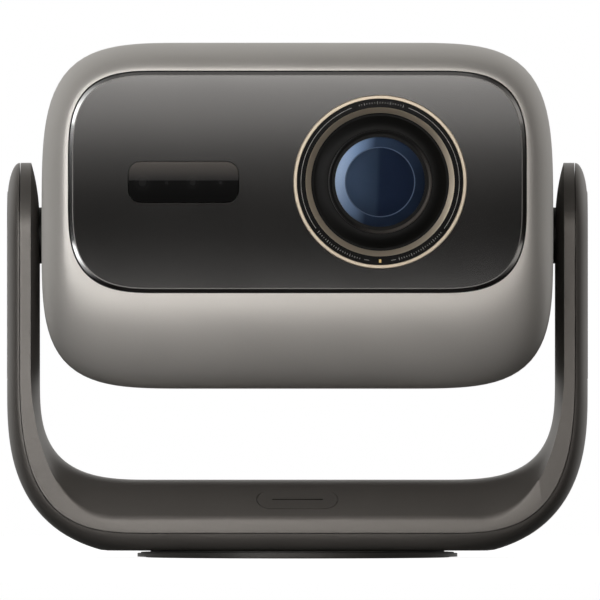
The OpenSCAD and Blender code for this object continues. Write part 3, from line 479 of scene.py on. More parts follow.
yoke_paint = coating("yoke_paint", (0.218, 0.204, 0.19), 0.42, 0.50, grain=2600, spread=0.08,
                     depth=0.000012, **{"Coat Weight": 0.12, "Coat Roughness": 0.3})
quarter = np.radians(np.linspace(90, 0, 12))
share = np.concatenate([1 - np.cos(quarter), [0.0]])
depth = np.concatenate([half_depth - crown_depth * (1 - np.sin(quarter)), [0.0]])
both_shares = np.concatenate([share, share[-2::-1]])
both_depths = np.concatenate([-depth, depth[-2::-1]])
wall_scale = (half_depth - cover_t) / half_depth
hidden_edge = grown_arms(yoke_edge, -cover_t)
outer_lines = between(yoke_edge, seam_edge, both_shares)
wall_lines = between(hidden_edge, seam_edge, both_shares)[::-1]
foot_floor = yoke_low.z
patches = [u_shell(outer_lines, both_depths, foot_floor, wall_lines,
                   (both_depths * wall_scale)[::-1], foot_floor + cover_t)]
for side in (1, -1):
    widths = np.concatenate([between(yoke_edge, seam_edge, share)[:, 0],
                             between(hidden_edge, seam_edge, share)[::-1, 0]])
    patches.append(arm_top(widths, np.concatenate([depth, wall_scale * depth[::-1]]), side))
recesses = [prism(plate_outline(0.2 * mm), side * (yoke_high.x - plate_recess),
                  side * (yoke_high.x + 0.003), along_x) for side in (1, -1)]
outer_cover = made_solid("outer_cover", patches, yoke_paint, "yoke", cut=recesses)
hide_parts("yoke_outer")

ahead = np.linspace(0, 1, 17)
dome = 1 - (1 - ahead) ** dome_power
dome_both = np.concatenate([dome, dome[-2::-1]])
depth_both = half_depth * np.concatenate([-(1 - ahead), (1 - ahead)[-2::-1]])
top_edge = grown_arms(seam_edge, -0.45 * mm)
lip = (half_depth - cover_t) / half_depth
dome_lines = between(shoulder_edge, crest_edge, dome_both)
inner_outer = np.concatenate([[top_edge], dome_lines, [top_edge]])
inner_depths = np.concatenate([[-half_depth], depth_both, [half_depth]])
inner_wall = np.concatenate([[top_edge], grown_arms(dome_lines, cover_t)[::-1], [top_edge]])
wall_depths = lip * inner_depths[::-1]
patches = [u_shell(inner_outer, inner_depths, 0.0, inner_wall, wall_depths, 0.0)]
half_lines = between(shoulder_edge, crest_edge, dome)[:, 0]
for side in (1, -1):
    widths = np.concatenate([[top_edge[0]], half_lines, half_lines[::-1] + cover_t,
                             [top_edge[0]]])
    reach = half_depth * (1 - ahead)
    depths = np.concatenate([[half_depth], reach, lip * reach[::-1], [lip * half_depth]])
    patches.append(arm_top(widths, depths, side))
stub_r = (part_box("pivot_right")[1].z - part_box("pivot_right")[0].z) / 2 - 0.007
stub_hole = arc(stub_r + slit, 0, 360, 64)[:-1] + np.array([0, pivot_z])
holes = [prism(stub_hole, -yoke_high.x, yoke_high.x, along_x),
         prism(stadium(key_l + 2 * slit, key_w + 2 * slit), -0.006, 0.006, key_frame)]
inner_cover = made_solid("inner_cover", patches, yoke_paint, "yoke", sharp=65.0,
                         cut=holes)
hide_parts("yoke_inner")


# The arms' flat trim plates are thin anodised sheet, glued into recesses of the outer cover.
plate_finish = coating("plate_finish", (0.30, 0.29, 0.275), 0.36, 0.8, grain=700,
                       stretch=(1, 1, 12), depth=0.000008)
for side, hand in ((1, "right"), (-1, "left")):
    face_x = side * yoke_high.x
    rows = []
    for grow, rise in ((0, -plate_recess), (0, -edge_r), (-0.1 * mm, -0.1 * mm),
                       (-edge_r, 0)):
        rows.append(along_x(*plate_outline(grow).T, face_x + side * rise))
    grid = np.array(rows)
    n = grid.shape[1]
    caps = [range(n), range(3 * n, 4 * n)]
    plate = made_solid(f"trim_plate_{hand}", [(grid, grid_faces(4, n, False, True))],
                       plate_finish, "yoke", caps=caps)
    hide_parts(f"arm_plate_{hand}")


# ================================================================ power key
# A moulded key with rounded edges lies in the slope of the inner cover, over a small board. A
# smoked light pipe fills the groove along its middle.

key_paint = coating("key_paint", (0.208, 0.195, 0.182), 0.42, 0.5, grain=2600, depth=0.000012)
smoked_pipe = coating("smoked_pipe", (0.012, 0.011, 0.010), 0.2, grain=1200)
board_green = coating("board_green", (0.02, 0.07, 0.035), 0.35, grain=1500, spread=0.3)
rows = []
for inset, height in ((0, -5.0), (0, -0.45), (0.12, -0.15), (0.45, 0.0)):
    ring = stadium(key_l - 2 * inset * mm, key_w - 2 * inset * mm)
    rows.append(key_frame(ring[:, 0], ring[:, 1], np.full(len(ring), height * mm)))
grid = np.array(rows)
n = grid.shape[1]
groove = prism(stadium(27.7 * mm, 0.9 * mm), -0.8 * mm, 1 * mm, key_frame)
key_cap = made_solid("key_cap", [(grid, grid_faces(4, n, False, True))], key_paint, "key",
                     caps=[range(n), range(3 * n, 4 * n)], cut=[groove])
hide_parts("power_key")
dress(smoked_pipe, "key_light")
dress(board_green, "key_board")


# ================================================================ head covers
# The front shell's rim turns from facing forwards at the panel to facing sideways. Behind it
# are a top and a bottom cover, and a rear cover with air slots: all moulded, in silver paint.

shell_low, shell_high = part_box("front_shell")
panel_low, panel_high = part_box("front_panel")
rear_low, rear_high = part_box("rear_cover")
top_low, top_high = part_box("top_cover")
wall = 2.4 * mm
panel_gap = 0.6 * mm
rim_depth = 36 * mm
rear_round = 26 * mm
seam_round = 0.35 * mm
full_edge = np.array([shell_high.x, shell_low.z, shell_high.z, 0.086, 0.086, 0.100, 4.05])
panel_edge = np.array([panel_high.x, panel_low.z, panel_high.z, 0.050, 0.050, 0.050, 3.1])
panel_edge = grown(panel_edge, -0.9 * mm)
opening_edge = grown(panel_edge, panel_gap)
silver_paint = coating("silver_paint", (0.72, 0.695, 0.66), 0.44, 0.42, grain=3200,
                       spread=0.04, depth=0.000012, **{"Coat Weight": 0.08,
                                                       "Coat Roughness": 0.35})


def loop_path(outline, steps=36):
    """The outline's four corners, one after another from the right side upwards, as (x, z)."""
    turn = np.linspace(0, 90, steps)
    return np.concatenate([corner(outline, side, up, start + turn) for side, up, start in
                           ((1, 1, 0), (-1, 1, 90), (-1, -1, 180), (1, -1, 270))])


def loop_rows(rows):
    """A ring of points for each (outline, y)."""
    rings = []
    for outline, y in rows:
        path = loop_path(outline)
        rings.append(np.stack([path[:, 0], np.full(len(path), y), path[:, 1]], 1))
    return np.array(rings)


front_y = shell_low.y
split_front = shell_high.y
seat_y = panel_high.y + 0.2 * mm
rim_turn = np.radians(np.linspace(0, 90, 25))
rim = [(between(opening_edge, full_edge, [np.sin(a)])[0], front_y + rim_depth * (1 - np.cos(a)))
       for a in rim_turn]
behind_rim = [(grown(outline, -wall), y + wall / 2) for outline, y in rim[:7:-1]]
ledge = grown(panel_edge, -3 * mm)
rows = rim + [(full_edge, split_front - seam_round),
              (grown(full_edge, -0.1 * mm), split_front - 0.1 * mm),
              (grown(full_edge, -seam_round), split_front),
              (grown(full_edge, -wall), split_front)] + behind_rim
rows += [(ledge, seat_y + wall), (ledge, seat_y), (opening_edge, seat_y),
         (opening_edge, front_y + 0.4 * mm)]
grid = loop_rows(rows)
shell = made_solid("rounded_shell", [(grid, grid_faces(*grid.shape[:2], True, True))],
                   silver_paint, "head")
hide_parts("front_shell")

# The recess that holds the panel, behind the rim's front edge, is coloured nearly black: painted
# shade in the gap round the panel.
recess_painted_shade = coating("recess_painted_shade", (0.006, 0.006, 0.006), 0.6, grain=1800)
shell.data.materials.append(recess_painted_shade)
row = np.arange(len(shell.data.polygons)) // grid.shape[1]
shaded_recess = row >= len(rows) - 4
shell.data.polygons.foreach_set("material_index", shaded_recess.astype(int))

grille_turn = 37.5
rest_turn = np.linspace(grille_turn, 90, 24)
for name, node_name, up, turns in (
        ("upper_cover", "top_cover", 1, (rest_turn, 180 - rest_turn[::-1])),
        ("lower_cover", "bottom_cover", -1, (180 + rest_turn, 360 - rest_turn[::-1]))):
    sides = (1, -1) if up > 0 else (-1, 1)
    y0, y1 = top_low.y, top_high.y
    lines = []
    for grow, y in ((-seam_round, y0), (-0.1 * mm, y0 + 0.1 * mm), (0, y0 + seam_round),
                    (0, y1 - seam_round), (-0.1 * mm, y1 - 0.1 * mm), (-seam_round, y1),
                    (-wall, y1), (-wall, y0)):
        outline = grown(full_edge, grow)
        path = np.concatenate([corner(outline, s, up, t) for s, t in zip(sides, turns)])
        lines.append(np.stack([path[:, 0], np.full(len(path), y), path[:, 1]], 1))
    grid = np.array(lines)
    m, n = grid.shape[:2]
    caps = [range(0, m * n, n), range(n - 1, m * n, n)]
    cover = made_solid(name, [(grid, grid_faces(m, n, True, False))], silver_paint, "head",
                       caps=caps)
    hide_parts(node_name)

# The rear cover is rounded into a flat back, with nine slots before each fan, an opening for
# the sockets and four sunk screw holes.
fan_x = (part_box("fan_right")[0].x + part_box("fan_right")[1].x) / 2
fan_z = (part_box("fan_right")[0].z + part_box("fan_right")[1].z) / 2
port_z = (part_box("port_panel")[0].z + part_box("port_panel")[1].z) / 2
rear_y = rear_high.y
turn = np.radians(np.linspace(0, 90, 15))
outer_rows = [(grown(full_edge, -rear_round * (1 - np.cos(a))),
               rear_y - rear_round + rear_round * np.sin(a)) for a in turn]
inner_round = rear_round - wall
inner_rows = [(grown(full_edge, -wall - inner_round * (1 - np.cos(a))),
               rear_y - rear_round + inner_round * np.sin(a)) for a in turn[::-1]]
rows = inner_rows + [(grown(full_edge, -wall), rear_low.y),
                     (grown(full_edge, -seam_round), rear_low.y),
                     (grown(full_edge, -0.1 * mm), rear_low.y + 0.1 * mm),
                     (full_edge, rear_low.y + seam_round)] + outer_rows
grid = loop_rows(rows)
m, n = grid.shape[:2]


def rounded_ring(width, height, radius, x=0.0, z=0.0, steps=8):
    """A ring of (x, z) points round a rectangle with round corners."""
    w, h = width / 2 - radius, height / 2 - radius
    return np.concatenate([arc(radius, start, start + 90, steps, x + sx * w, z + sz * h)
                           for sx, sz, start in ((1, 1, 0), (-1, 1, 90), (-1, -1, 180),
                                                 (1, -1, 270))])


def along_y(x, z, y):
    """Points (x, y, z) from width and height arrays and one y."""
    return np.stack(np.broadcast_arrays(x, y, z), 1)


def cut_y(ring, low, high):
    """A prism through the ring of (x, z) points, from one depth to another, to cut with."""
    return prism(ring, low, high, along_y)


slots = [rounded_ring(72 * mm, 3.6 * mm, 1.75 * mm, side * fan_x, fan_z + k * 8 * mm)
         for side in (-1, 1) for k in range(-4, 5)]
slots.append(rounded_ring(126 * mm, 24 * mm, 5 * mm, 0, port_z))
screw_places = [(side * 88 * mm, z) for side in (-1, 1) for z in (port_z, fan_z + 46 * mm)]
slots += [arc(1.55 * mm, 0, 360, 25, x, z)[:-1] for x, z in screw_places]
cups = [arc(3.25 * mm, 0, 360, 41, x, z)[:-1] for x, z in screw_places]
cuts = [cut_y(ring, rear_y - wall - 1 * mm, rear_y + 1 * mm) for ring in slots]
cuts += [cut_y(ring, rear_y - 1.2 * mm, rear_y + 1 * mm) for ring in cups]
rear = made_solid("slotted_rear_cover", [(grid, grid_faces(m, n, False, True))], silver_paint,
                  "head", caps=[range(n), range((m - 1) * n, m * n)], cut=cuts)
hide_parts("rear_cover")
black_screws = coating("black_screws", (0.02, 0.02, 0.02), 0.4, 0.6, grain=2500)
dress(black_screws, "cover_screws")


# ================================================================ side grilles
# Each side is a thin pressed sheet, perforated all over for the speakers and the cooling air,
# in a plain border, with a collar round the pivot. It is painted like the covers.

def side_line(steps=60):
    """The side of the head between the two covers, from below, as (x, z) points, with the
    length run so far and the outward normals."""
    turn = np.linspace(0, grille_turn, steps)
    line = np.concatenate([corner(full_edge, 1, -1, 360 - turn[::-1]),
                           corner(full_edge, 1, 1, turn)])
    step = np.diff(line, axis=0)
    run = np.concatenate([[0], np.cumsum(np.hypot(*step.T))])
    along = np.gradient(line, run, axis=0)
    along /= np.hypot(*along.T)[:, None]
    return line, run, np.stack([along[:, 1], -along[:, 0]], 1)


line, run, normals = side_line()


def on_side(side, s, y, rise):
    """Points at length s along the side and depth y, raised along the side's normal."""
    x, z = (np.interp(s, run, line[:, k]) + rise * np.interp(s, run, normals[:, k])
            for k in (0, 1))
    return np.stack([side * x, y, z], -1)


border = 3.2 * mm
sheet_t = 1.2 * mm
sunk = 0.15 * mm
pitch = 2.4 * mm
hole_r = 0.78 * mm
collar_r = 19.5 * mm
y0, y1 = top_low.y, top_high.y
row_step = pitch * np.sqrt(3) / 2
i, j = np.meshgrid(np.arange(int(run[-1] / row_step) + 2), np.arange(int((y1 - y0) / pitch) + 2),
                   indexing="ij")
cell_s = (i * row_step).ravel()
cell_y = (y0 + j * pitch + (i % 2) * pitch / 2).ravel()
margin = border - 0.4 * mm
cell_z = np.interp(cell_s, run, line[:, 1])
keep = ((cell_s > margin) & (cell_s < run[-1] - margin) & (cell_y > y0 + margin)
        & (cell_y < y1 - margin)
        & (np.hypot(cell_y, cell_z - pivot_z) > collar_r - 1.4 * mm))
cell_s, cell_y = cell_s[keep], cell_y[keep]
for side, hand in ((1, "right"), (-1, "left")):
    # Every cell is a hexagon round a six-sided hole: six faces between the two rings of corners.
    spoke = np.radians(30 + 60 * np.arange(6))
    corners = []
    for radius in (pitch / np.sqrt(3), hole_r):
        s = cell_s[:, None] + radius * np.sin(spoke)
        y = cell_y[:, None] + radius * np.cos(spoke)
        corners.append(on_side(side, s, y, -sunk))
    points = np.concatenate(corners, 1)
    k = np.arange(6)
    ring = np.stack([k, (k + 1) % 6, (k + 1) % 6 + 6, k + 6], 1)
    faces = (ring[None] + 12 * np.arange(len(points))[:, None, None]).reshape(-1, 4)
    if side < 0:
        faces = faces[:, ::-1]
    mesh = bpy.data.meshes.new(f"perforated_side_{hand}")
    flat, where = np.unique(np.round(points.reshape(-1, 3) / 1e-6).astype(int), axis=0,
                            return_inverse=True)
    mesh.from_pydata((flat * 1e-6).tolist(), [], where.ravel()[faces].tolist())
    sheet = shown(mesh.name, mesh)
    thick = sheet.modifiers.new("thickness", "SOLIDIFY")
    thick.thickness = sheet_t
    thick.offset = -1
    mesh.polygons.foreach_set("use_smooth", np.ones(len(mesh.polygons), bool))
    mesh.materials.append(silver_paint)
    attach(sheet, "head")
    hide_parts(f"grille_{hand}")

    # The border is one section carried round the rectangle of length and depth.
    rows = []
    for inset, rise in ((0, -sheet_t), (0, -seam_round), (0.1 * mm, -0.1 * mm), (seam_round, 0),
                        (border - seam_round, 0), (border, -0.3 * mm), (border, -sheet_t)):
        a, b = inset, run[-1] - inset
        c, d = y0 + inset, y1 - inset
        up, across = np.linspace(a, b, 90), np.linspace(c, d, 12)
        s = np.concatenate([up, np.full(12, b), up[::-1], np.full(12, a)])
        y = np.concatenate([np.full(90, c), across, np.full(90, d), across[::-1]])
        rows.append(on_side(side, s, y, rise))
    grid = np.array(rows)
    made_solid(f"side_border_{hand}", [(grid, grid_faces(*grid.shape[:2], True, True))],
               silver_paint, "head")

# A collar closes the perforated sheet round each pivot; the pivot itself is a black journal.

def turned(profile, place, steps=96):
    """A closed profile of (radius, depth) pairs carried once round an axis: the point at angle a
    is (r cos a, r sin a, depth), put in place by a function."""
    r, depth = np.array(profile).T
    a = np.linspace(0, 2 * np.pi, steps, endpoint=False)
    u, v = r[:, None] * np.cos(a), r[:, None] * np.sin(a)
    grid = place(u, v, np.broadcast_to(depth[:, None], u.shape))
    return grid, grid_faces(*grid.shape[:2], True, True)


for side, hand in ((1, "right"), (-1, "left")):
    def about_pivot(u, v, depth):
        """Points of a turned surface about the tilt axis, on this side."""
        return np.stack([side * depth, u, pivot_z + v], -1)
    x = full_edge[0]
    profile = [(stub_r + slit, x - sheet_t), (stub_r + slit, x - 0.2 * mm),
               (stub_r + 0.6 * mm, x + 0.1 * mm), (collar_r - 0.6 * mm, x + 0.1 * mm),
               (collar_r, x - 0.3 * mm), (collar_r, x - sheet_t - 0.8 * mm),
               (stub_r + slit, x - sheet_t - 0.8 * mm)]
    made_solid(f"pivot_collar_{hand}", [turned(profile, about_pivot)], silver_paint, "head")
journal_black = coating("journal_black", (0.006, 0.006, 0.006), 0.5, grain=1500)
dress(journal_black, "pivot_right", "pivot_left")


# ================================================================ inside the head
# An aluminium chassis carries the light engine, the laser module, a finned cooler with heat
# pipes, two fans, two speakers and the boards. They show through the slots and in section.

cast_metal = coating("cast_metal", (0.42, 0.43, 0.44), 0.45, 1.0, grain=900, depth=0.00004)
fin_metal = coating("fin_metal", (0.58, 0.59, 0.60), 0.35, 1.0, grain=700, stretch=(1, 9, 1))
engine_black = coating("engine_black", (0.05, 0.055, 0.06), 0.5, 0.6, grain=1200, depth=0.00005)
laser_gold = coating("laser_gold", (0.50, 0.33, 0.10), 0.4, 1.0, grain=900)
moulded_black = coating("moulded_black", (0.015, 0.015, 0.015), 0.5, grain=1800, depth=0.00004)
tinned_steel = coating("tinned_steel", (0.52, 0.52, 0.51), 0.3, 1.0, grain=1600)
dress(cast_metal, "chassis", "stage_base", "shift_plate_x")
dress(fin_metal, "cooler")
dress(engine_black, "light_engine")
dress(laser_gold, "laser_module")
dress(moulded_black, "fan_right", "fan_left", "rotor_right", "rotor_left", "speaker_right",
      "speaker_left", "audio_jack", "power_inlet", "port_panel")
dress(tinned_steel, "video_sockets", "usb_socket")
dress(board_green, "main_board", "sensor_board")


# ================================================================ front panel
# A smoked acrylic sheet with a bevelled edge fills the rim. A lighter grey hairline round its
# flat face, which holds the lens rings and the sensor window, is a painted highlight along the
# bevel's inner edge.

lens_x = (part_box("lens_ring_outer")[0].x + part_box("lens_ring_outer")[1].x) / 2
lens_z = (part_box("lens_ring_outer")[0].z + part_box("lens_ring_outer")[1].z) / 2
ring_r = 46.6 * mm
window_low, window_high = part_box("sensor_window")
window_x = (window_low.x + window_high.x) / 2
window_w, window_h = 59.4 * mm, 22 * mm
panel_front, panel_back = panel_low.y, panel_high.y
smoked_sheet = coating("smoked_sheet", (0.0045, 0.0038, 0.0032), 0.11, grain=2600, spread=0.1,
                       depth=0.000003, **{"IOR": 1.8, "Specular IOR Level": 1.0,
                                          "Coat Weight": 1.0, "Coat Roughness": 0.04})
# Painted highlight: the lighter grey of the hairline strip at the bevel's inner edge.
hairline_painted_highlight = coating("hairline_painted_highlight", (0.17, 0.165, 0.16), 0.3, 0.3, grain=1800)
bevel = 2.0 * mm
rows = [(panel_edge, panel_back), (panel_edge, panel_front + 0.5 * mm),
        (grown(panel_edge, -0.15 * mm), panel_front + 0.35 * mm),
        (grown(panel_edge, -bevel), panel_front + 0.05 * mm),
        (grown(panel_edge, -bevel - 0.1 * mm), panel_front)]
grid = loop_rows(rows)
m, n = grid.shape[:2]
lens_hole = arc(ring_r + 0.2 * mm, 0, 360, 145, lens_x, lens_z)[:-1]
window_hole = rounded_ring(window_w + 0.5 * mm, window_h + 0.5 * mm, 7 * mm, window_x, lens_z)
cuts = [cut_y(ring, panel_front - 1 * mm, panel_back + 1 * mm)
        for ring in (lens_hole, window_hole)]
smoked = made_solid("smoked_panel", [(grid, grid_faces(m, n, False, True))], smoked_sheet,
                    "head", caps=[range(n), range((m - 1) * n, m * n)], cut=cuts)
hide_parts("front_panel")
rows = [(grown(panel_edge, -bevel + grow * mm), panel_front + y * mm)
        for grow, y in ((0.30, 0.2), (0.30, -0.02), (-0.20, -0.06), (-0.20, 0.2))]
grid = loop_rows(rows)
made_solid("panel_hairline", [(grid, grid_faces(*grid.shape[:2], True, True))], hairline_painted_highlight,
           "head")

# The sensor window is polished, nearly black plastic. Its upper half is coloured lighter towards
# the top, a painted reflection, and faint painted highlights mark the rims of a camera, a distance
# sensor and two smaller parts behind it.
material, node = new_material("sensor_glass")
place = node("ShaderNodeTexCoord").outputs["Object"]
local = node("ShaderNodeMapping", {"Vector": place,
                                   "Location": (-window_x, 0, -lens_z)}).outputs["Vector"]
axes = node("ShaderNodeSeparateXYZ", {0: local})
height = node("ShaderNodeMapRange", {"Value": axes.outputs["Z"], "From Min": -window_h / 2,
                                     "From Max": window_h / 2})
# Painted reflection: lighter from just above the middle up to the top, nearly black below.
painted_reflection_fade = ramp(node, height.outputs["Result"],
            [(0.0, (0.004, 0.004, 0.004)), (0.53, (0.005, 0.005, 0.005)),
             (0.54, (0.030, 0.030, 0.030)), (0.95, (0.120, 0.110, 0.102))])
colour = painted_reflection_fade
# Faint painted highlights: a lighter disc and ring in the colour for each part behind the window.
for x, r in ((-22.0, 4.0), (-9.0, 1.5), (5.0, 3.2), (20.0, 1.8)):
    offset = node("ShaderNodeVectorMath", {0: local, 1: (x * mm, 0, -0.4 * mm)},
                  operation="SUBTRACT")
    flat = node("ShaderNodeVectorMath", {0: offset.outputs["Vector"], 1: (1, 0, 1)},
                operation="MULTIPLY")
    away = node("ShaderNodeVectorMath", {0: flat.outputs["Vector"]}, operation="LENGTH")
    rim_share = node("ShaderNodeMapRange", {"Value": away.outputs["Value"], "From Min": 0.0,
                                            "From Max": r * mm * 1.25})
    glow = ramp(node, rim_share.outputs["Result"],
                [(0.0, 0.012), (0.35, 0.010), (0.55, 0.0), (0.72, 0.006), (0.95, 0.0)])
    colour = node("ShaderNodeVectorMath", {0: colour, 1: glow}, operation="ADD").outputs["Vector"]
surface = node("ShaderNodeBsdfPrincipled", {"Base Color": colour, "Roughness": 0.08,
                                            "IOR": 1.45})
node("ShaderNodeOutputMaterial", {"Surface": surface.outputs["BSDF"]})
window_glass = material
rows = []
for grow, y in ((0, window_high.y), (0, panel_front + 0.3 * mm), (-0.25 * mm, panel_front)):
    ring = rounded_ring(window_w + 2 * grow, window_h + 2 * grow, 6.8 * mm + grow, window_x,
                        lens_z)
    rows.append(along_y(ring[:, 0], ring[:, 1], np.full(len(ring), y)))
grid = np.array(rows)
m, n = grid.shape[:2]
window = made_solid("polished_window", [(grid, grid_faces(m, n, False, True))], window_glass,
                    "head", caps=[range(n), range((m - 1) * n, m * n)])
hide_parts("sensor_window")


# ================================================================ lens rings
# Round the lens lie a turned, anodised outer ring, a black band with fine marks, and an inner
# ring that slopes inwards. They are pressed together and fixed to the panel from behind.

def about_lens(u, v, depth):
    """Points of a turned surface about the lens axis."""
    return np.stack([lens_x + u, depth, lens_z + v], -1)


def lens_ring(name, profile, material, body, replaced=(), steps=160, sharp=35.0):
    """A turned ring from (radius, depth behind the front plane) pairs in millimetres."""
    profile = [(r * mm, front_y + d * mm) for r, d in profile]
    made = made_solid(name, [turned(profile, about_lens, steps)], material, body,
                      sharp=sharp)
    if replaced:
        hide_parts(*replaced)
    return made


champagne = coating("champagne_anodising", (0.62, 0.535, 0.42), 0.36, 0.75, grain=1500,
                    spread=0.03, depth=0.000005)
band_black = coating("band_black", (0.003, 0.003, 0.003), 0.25, grain=1500,
                     **{"Specular IOR Level": 0.12})
mark_white = coating("mark_white", (0.50, 0.49, 0.47), 0.5, grain=2500)
mark_gold = coating("mark_gold", (0.62, 0.45, 0.18), 0.35, 0.6, grain=2500)
lens_ring("outer_ring", [(44.7, 3.6), (44.7, 0.25), (44.95, 0), (46.35, 0), (46.6, 0.25),
                         (46.6, 4.2), (49, 4.2), (49, 5.6), (44.7, 5.6)],
          champagne, "head", ["lens_ring_outer"])
lens_ring("black_band", [(40.15, 3.6), (40.15, 0.95), (40.3, 0.8), (44.5, 0.8), (44.65, 0.95),
                         (44.65, 3.6)], band_black, "head", ["lens_band"])
lens_ring("inner_ring", [(37.1, 3.6), (37.1, 2.3), (37.2, 2.15), (39.75, 0.65), (39.95, 0.6),
                         (40.1, 0.75), (40.1, 3.6)],
          champagne, "head", ["lens_ring_inner"])


def arc_line(radius, width, start, end):
    """A hair-thin raised line on the band, from one angle to another in degrees: its flat
    section of four corners is carried round the arc of the radius."""
    turn = np.radians(np.linspace(start, end, max(2, int(abs(end - start) * 1.2))))
    rows = []
    for r, d in ((radius - width / 2, 0.85), (radius - width / 2, 0.77),
                 (radius + width / 2, 0.77), (radius + width / 2, 0.85)):
        rows.append(about_lens(r * mm * np.cos(turn), r * mm * np.sin(turn),
                               np.full(len(turn), front_y + d * mm)))
    grid = np.array(rows)
    m, n = grid.shape[:2]
    return grid, grid_faces(m, n, True, False), [range(0, m * n, n), range(n - 1, m * n, n)]


def marks(name, pieces, material):
    """Several raised lines as one piece, each closed at both ends."""
    patches, caps, start = [], [], 0
    for grid, faces, ends in pieces:
        patches.append((grid, faces))
        caps += [[start + k for k in end] for end in ends]
        start += grid.shape[0] * grid.shape[1]
    return made_solid(name, patches, material, "head", caps=caps)


mark_r = 42.6
lines = [arc_line(mark_r, 0.22, a, b)
         for a, b in ((111, 216), (-36, 69), (258.5, 262), (278, 281.5))]
ticks = [arc_line(mark_r, 1.5 if k % 5 == 0 else 0.8, a - 0.14, a + 0.14)
         for start, end in ((73, 107), (219, 256), (284, 321))
         for k, a in enumerate(np.arange(start, end, 1.9))]
marks("band_lines", lines + ticks, mark_white)
marks("band_index", [arc_line(mark_r, 1.8, 269.2, 270.8)], mark_gold)


# ================================================================ zoom lens
# The barrel ends in a ribbed lip round the domed front glass, which has a blue coating. Behind
# it a baffle with fine steps narrows to the zoom group's first element. The lip, the baffle and
# that element are coloured paler towards one side: painted light.

def painted_side_light(name, light_from, stops, roughness, grain_scale=1800.0, depth=0.00001, **sockets):
    """A turned black finish with painted light: it gets paler towards the side the light comes
    from, a ramp over the distance across the lens axis in the given direction, in units of the
    barrel's radius, with fine grain."""
    material, node = new_material(name)
    place = node("ShaderNodeTexCoord").outputs["Object"]
    local = node("ShaderNodeMapping", {"Vector": place, "Location": (-lens_x, 0, -lens_z)})
    angle = np.radians(light_from)
    across = node("ShaderNodeVectorMath", {
        0: local.outputs["Vector"], 1: (np.cos(angle), 0, np.sin(angle))},
        operation="DOT_PRODUCT")
    share = node("ShaderNodeMapRange", {"Value": across.outputs["Value"], "From Min": -0.026,
                                        "From Max": 0.026})
    grain = node("ShaderNodeTexNoise", {"Vector": place, "Scale": grain_scale, "Detail": 2.0})
    shade = ramp(node, share.outputs["Result"], stops)
    mottle = node("ShaderNodeMapRange", {"Value": grain.outputs["Fac"], "To Min": 0.9,
                                         "To Max": 1.1})
    colour = node("ShaderNodeVectorMath", {0: shade, 1: mottle.outputs["Result"]},
                  operation="MULTIPLY")
    gloss = node("ShaderNodeMapRange", {"Value": grain.outputs["Fac"],
                                        "To Min": roughness * 0.85, "To Max": roughness * 1.15})
    bump = node("ShaderNodeBump", {"Height": grain.outputs["Fac"], "Strength": 0.3,
                                   "Distance": depth})
    surface = node("ShaderNodeBsdfPrincipled", {
        "Base Color": colour.outputs["Vector"], "Roughness": gloss.outputs["Result"],
        "Normal": bump.outputs["Normal"], **sockets})
    node("ShaderNodeOutputMaterial", {"Surface": surface.outputs["BSDF"]})
    return material


barrel_black = coating("barrel_black", (0.0035, 0.0035, 0.0032), 0.45, grain=1800,
                       depth=0.00001, **{"Specular IOR Level": 0.15})
# Painted highlight: the ribbed lip's colour gets paler towards the lower right.
lip_painted_highlight = painted_side_light("lip_painted_highlight", -38, [(0.0, 0.010), (0.55, 0.012), (0.85, (0.06, 0.055, 0.05)),
                                     (1.0, (0.10, 0.09, 0.08))], 0.35,
                  **{"Specular IOR Level": 0.3})
# Painted highlight: a pale blue crescent on the left of the stepped baffle.
baffle_painted_highlight = painted_side_light("baffle_painted_highlight", 172, [(0.0, (0.010, 0.013, 0.019)),
                                           (0.6, (0.035, 0.048, 0.070)),
                                           (0.80, (0.34, 0.42, 0.52)),
                                           (1.0, (0.85, 0.92, 1.0))], 0.35,
                     **{"Specular IOR Level": 0.0})
dress(barrel_black, "lens_barrel")
dress(cast_metal, "zoom_ring", "focus_ring")
dish = [(46, 7.6), (46, 6.0), (36, 6.0)]
dish += [(36 - 7.6 * t, 6.0 - 2.2 * np.sin(t * np.pi / 2) ** 1.2) for t in
         np.linspace(0.05, 1, 16)]
dish += [(28.3, 3.85), (26.3, 3.9), (26.3, 7.6)]
lens_ring("dish", dish, barrel_black, "lens", ["lens_skirt"])
lip = [(26.2, 6.0), (27.6, 4.0), (27.9, 2.9), (27.75, 2.5), (27.3, 2.35), (26.95, 2.6)]
for k in range(4):
    lip += [(26.8 - 0.62 * k, 2.75 + 0.42 * k), (26.35 - 0.62 * k, 2.85 + 0.42 * k)]
lip += [(24.3, 4.6), (24.3, 6.0)]
lens_ring("ribbed_lip", lip, lip_painted_highlight, "lens", sharp=50)
baffle = [(26.0, 7.2)]
for k in range(10):
    baffle += [(24.0 - 0.50 * k, 7.2 + 0.52 * k), (23.75 - 0.50 * k, 7.55 + 0.52 * k)]
baffle += [(18.95, 12.4), (18.95, 12.8), (26.0, 12.8)]
lens_ring("stepped_baffle", baffle, baffle_painted_highlight, "lens", sharp=50)

glass_r = 24.2 * mm
rise = 2.6 * mm


def coated_glass(name, colour, tint, roughness, **sockets):
    """Polished glass whose reflections are tinted by its coating."""
    material, node = new_material(name)
    place = node("ShaderNodeTexCoord").outputs["Object"]
    haze = node("ShaderNodeTexNoise", {"Vector": place, "Scale": 60.0, "Detail": 2.0})
    shade = ramp(node, haze.outputs["Fac"], [(0.3, tuple(c * 0.96 for c in colour)),
                                             (0.7, colour)])
    gloss = node("ShaderNodeMapRange", {"Value": haze.outputs["Fac"], "To Min": roughness * 0.8,
                                        "To Max": roughness * 1.2})
    surface = node("ShaderNodeBsdfPrincipled", {
        "Base Color": shade, "Roughness": gloss.outputs["Result"],
        "Specular Tint": (*tint, 1), **sockets})
    node("ShaderNodeOutputMaterial", {"Surface": surface.outputs["BSDF"]})
    return material


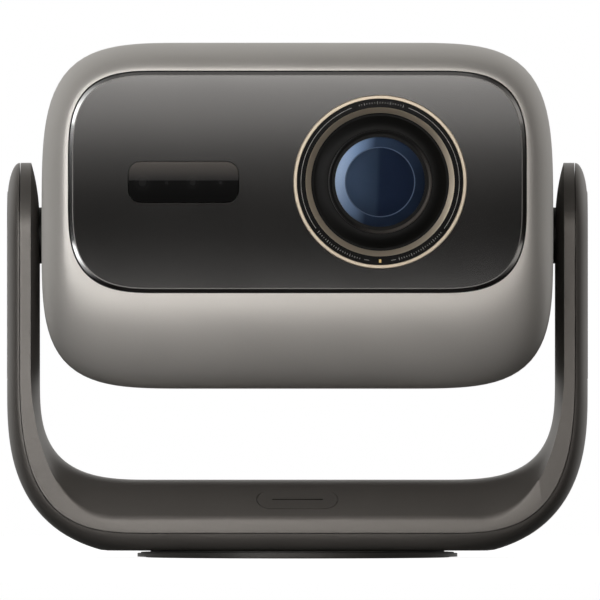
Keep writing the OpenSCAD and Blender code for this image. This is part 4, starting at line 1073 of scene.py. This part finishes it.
front_coating = coated_glass("front_coating", (0.80, 0.87, 0.98), (0.45, 0.62, 1.0), 0.015,
                             **{"Transmission Weight": 1.0, "IOR": 1.0,
                                "Specular IOR Level": 0.0})
# Painted reflection: the zoom element's colour is lighter over its left half, with a step near the
# middle.
zoom_glass_painted_reflection = painted_side_light("zoom_glass_painted_reflection", 178, [(0.0, (0.014, 0.019, 0.032)),
                                             (0.50, (0.017, 0.023, 0.037)),
                                             (0.54, (0.034, 0.045, 0.062)),
                                             (0.8, (0.060, 0.078, 0.105)),
                                             (0.95, (0.13, 0.165, 0.21))], 0.5,
                      70.0, 0.000001, **{"Specular IOR Level": 0.0})


def lens_element(name, radius, rise, edge, back, material, body, replaced=()):
    """A domed disc: depth at radius r is sphere_r - sqrt(sphere_r^2 - r^2) behind the apex."""
    ball = (radius ** 2 + rise ** 2) / (2 * rise)
    r = radius * np.sin(np.linspace(0, np.pi / 2, 24))
    front = np.stack([r, edge - rise + ball - np.sqrt(ball ** 2 - r ** 2)], 1)
    profile = np.concatenate([front, [[radius, back], [0, back]]])
    grid, _ = turned(profile, about_lens, 96)
    grid[0], grid[-1] = grid[0].mean(0), grid[-1].mean(0)
    made = made_solid(name, [(grid, grid_faces(*grid.shape[:2], False, True))], material, body,
                      sharp=40)
    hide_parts(*replaced)
    return made


lens_element("front_element", glass_r, rise, front_y + 4.7 * mm, front_y + 6.9 * mm,
             front_coating, "lens", ["front_glass"])
cell_low, cell_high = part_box("zoom_group")
lens_element("zoom_element", 18.4 * mm, 2.4 * mm, cell_low.y + 1.2 * mm, cell_low.y + 5 * mm,
             zoom_glass_painted_reflection, "zoom_cell")
cell_grey = coating("cell_grey", (0.14, 0.17, 0.21), 0.4, 0.3, grain=1500)
cell_r = 21.9
cell_d = (cell_low.y - front_y) / mm
cell_back = (cell_high.y - front_y) / mm
lens_ring("zoom_cell_rim", [(18.45, cell_d + 5), (18.45, cell_d + 1.0), (18.7, cell_d + 0.7),
                            (cell_r, cell_d + 0.7), (cell_r, cell_back), (15, cell_back),
                            (15, cell_d + 5)], cell_grey, "zoom_cell",
          ["zoom_group"])
dress(zoom_glass_painted_reflection, "focus_group")
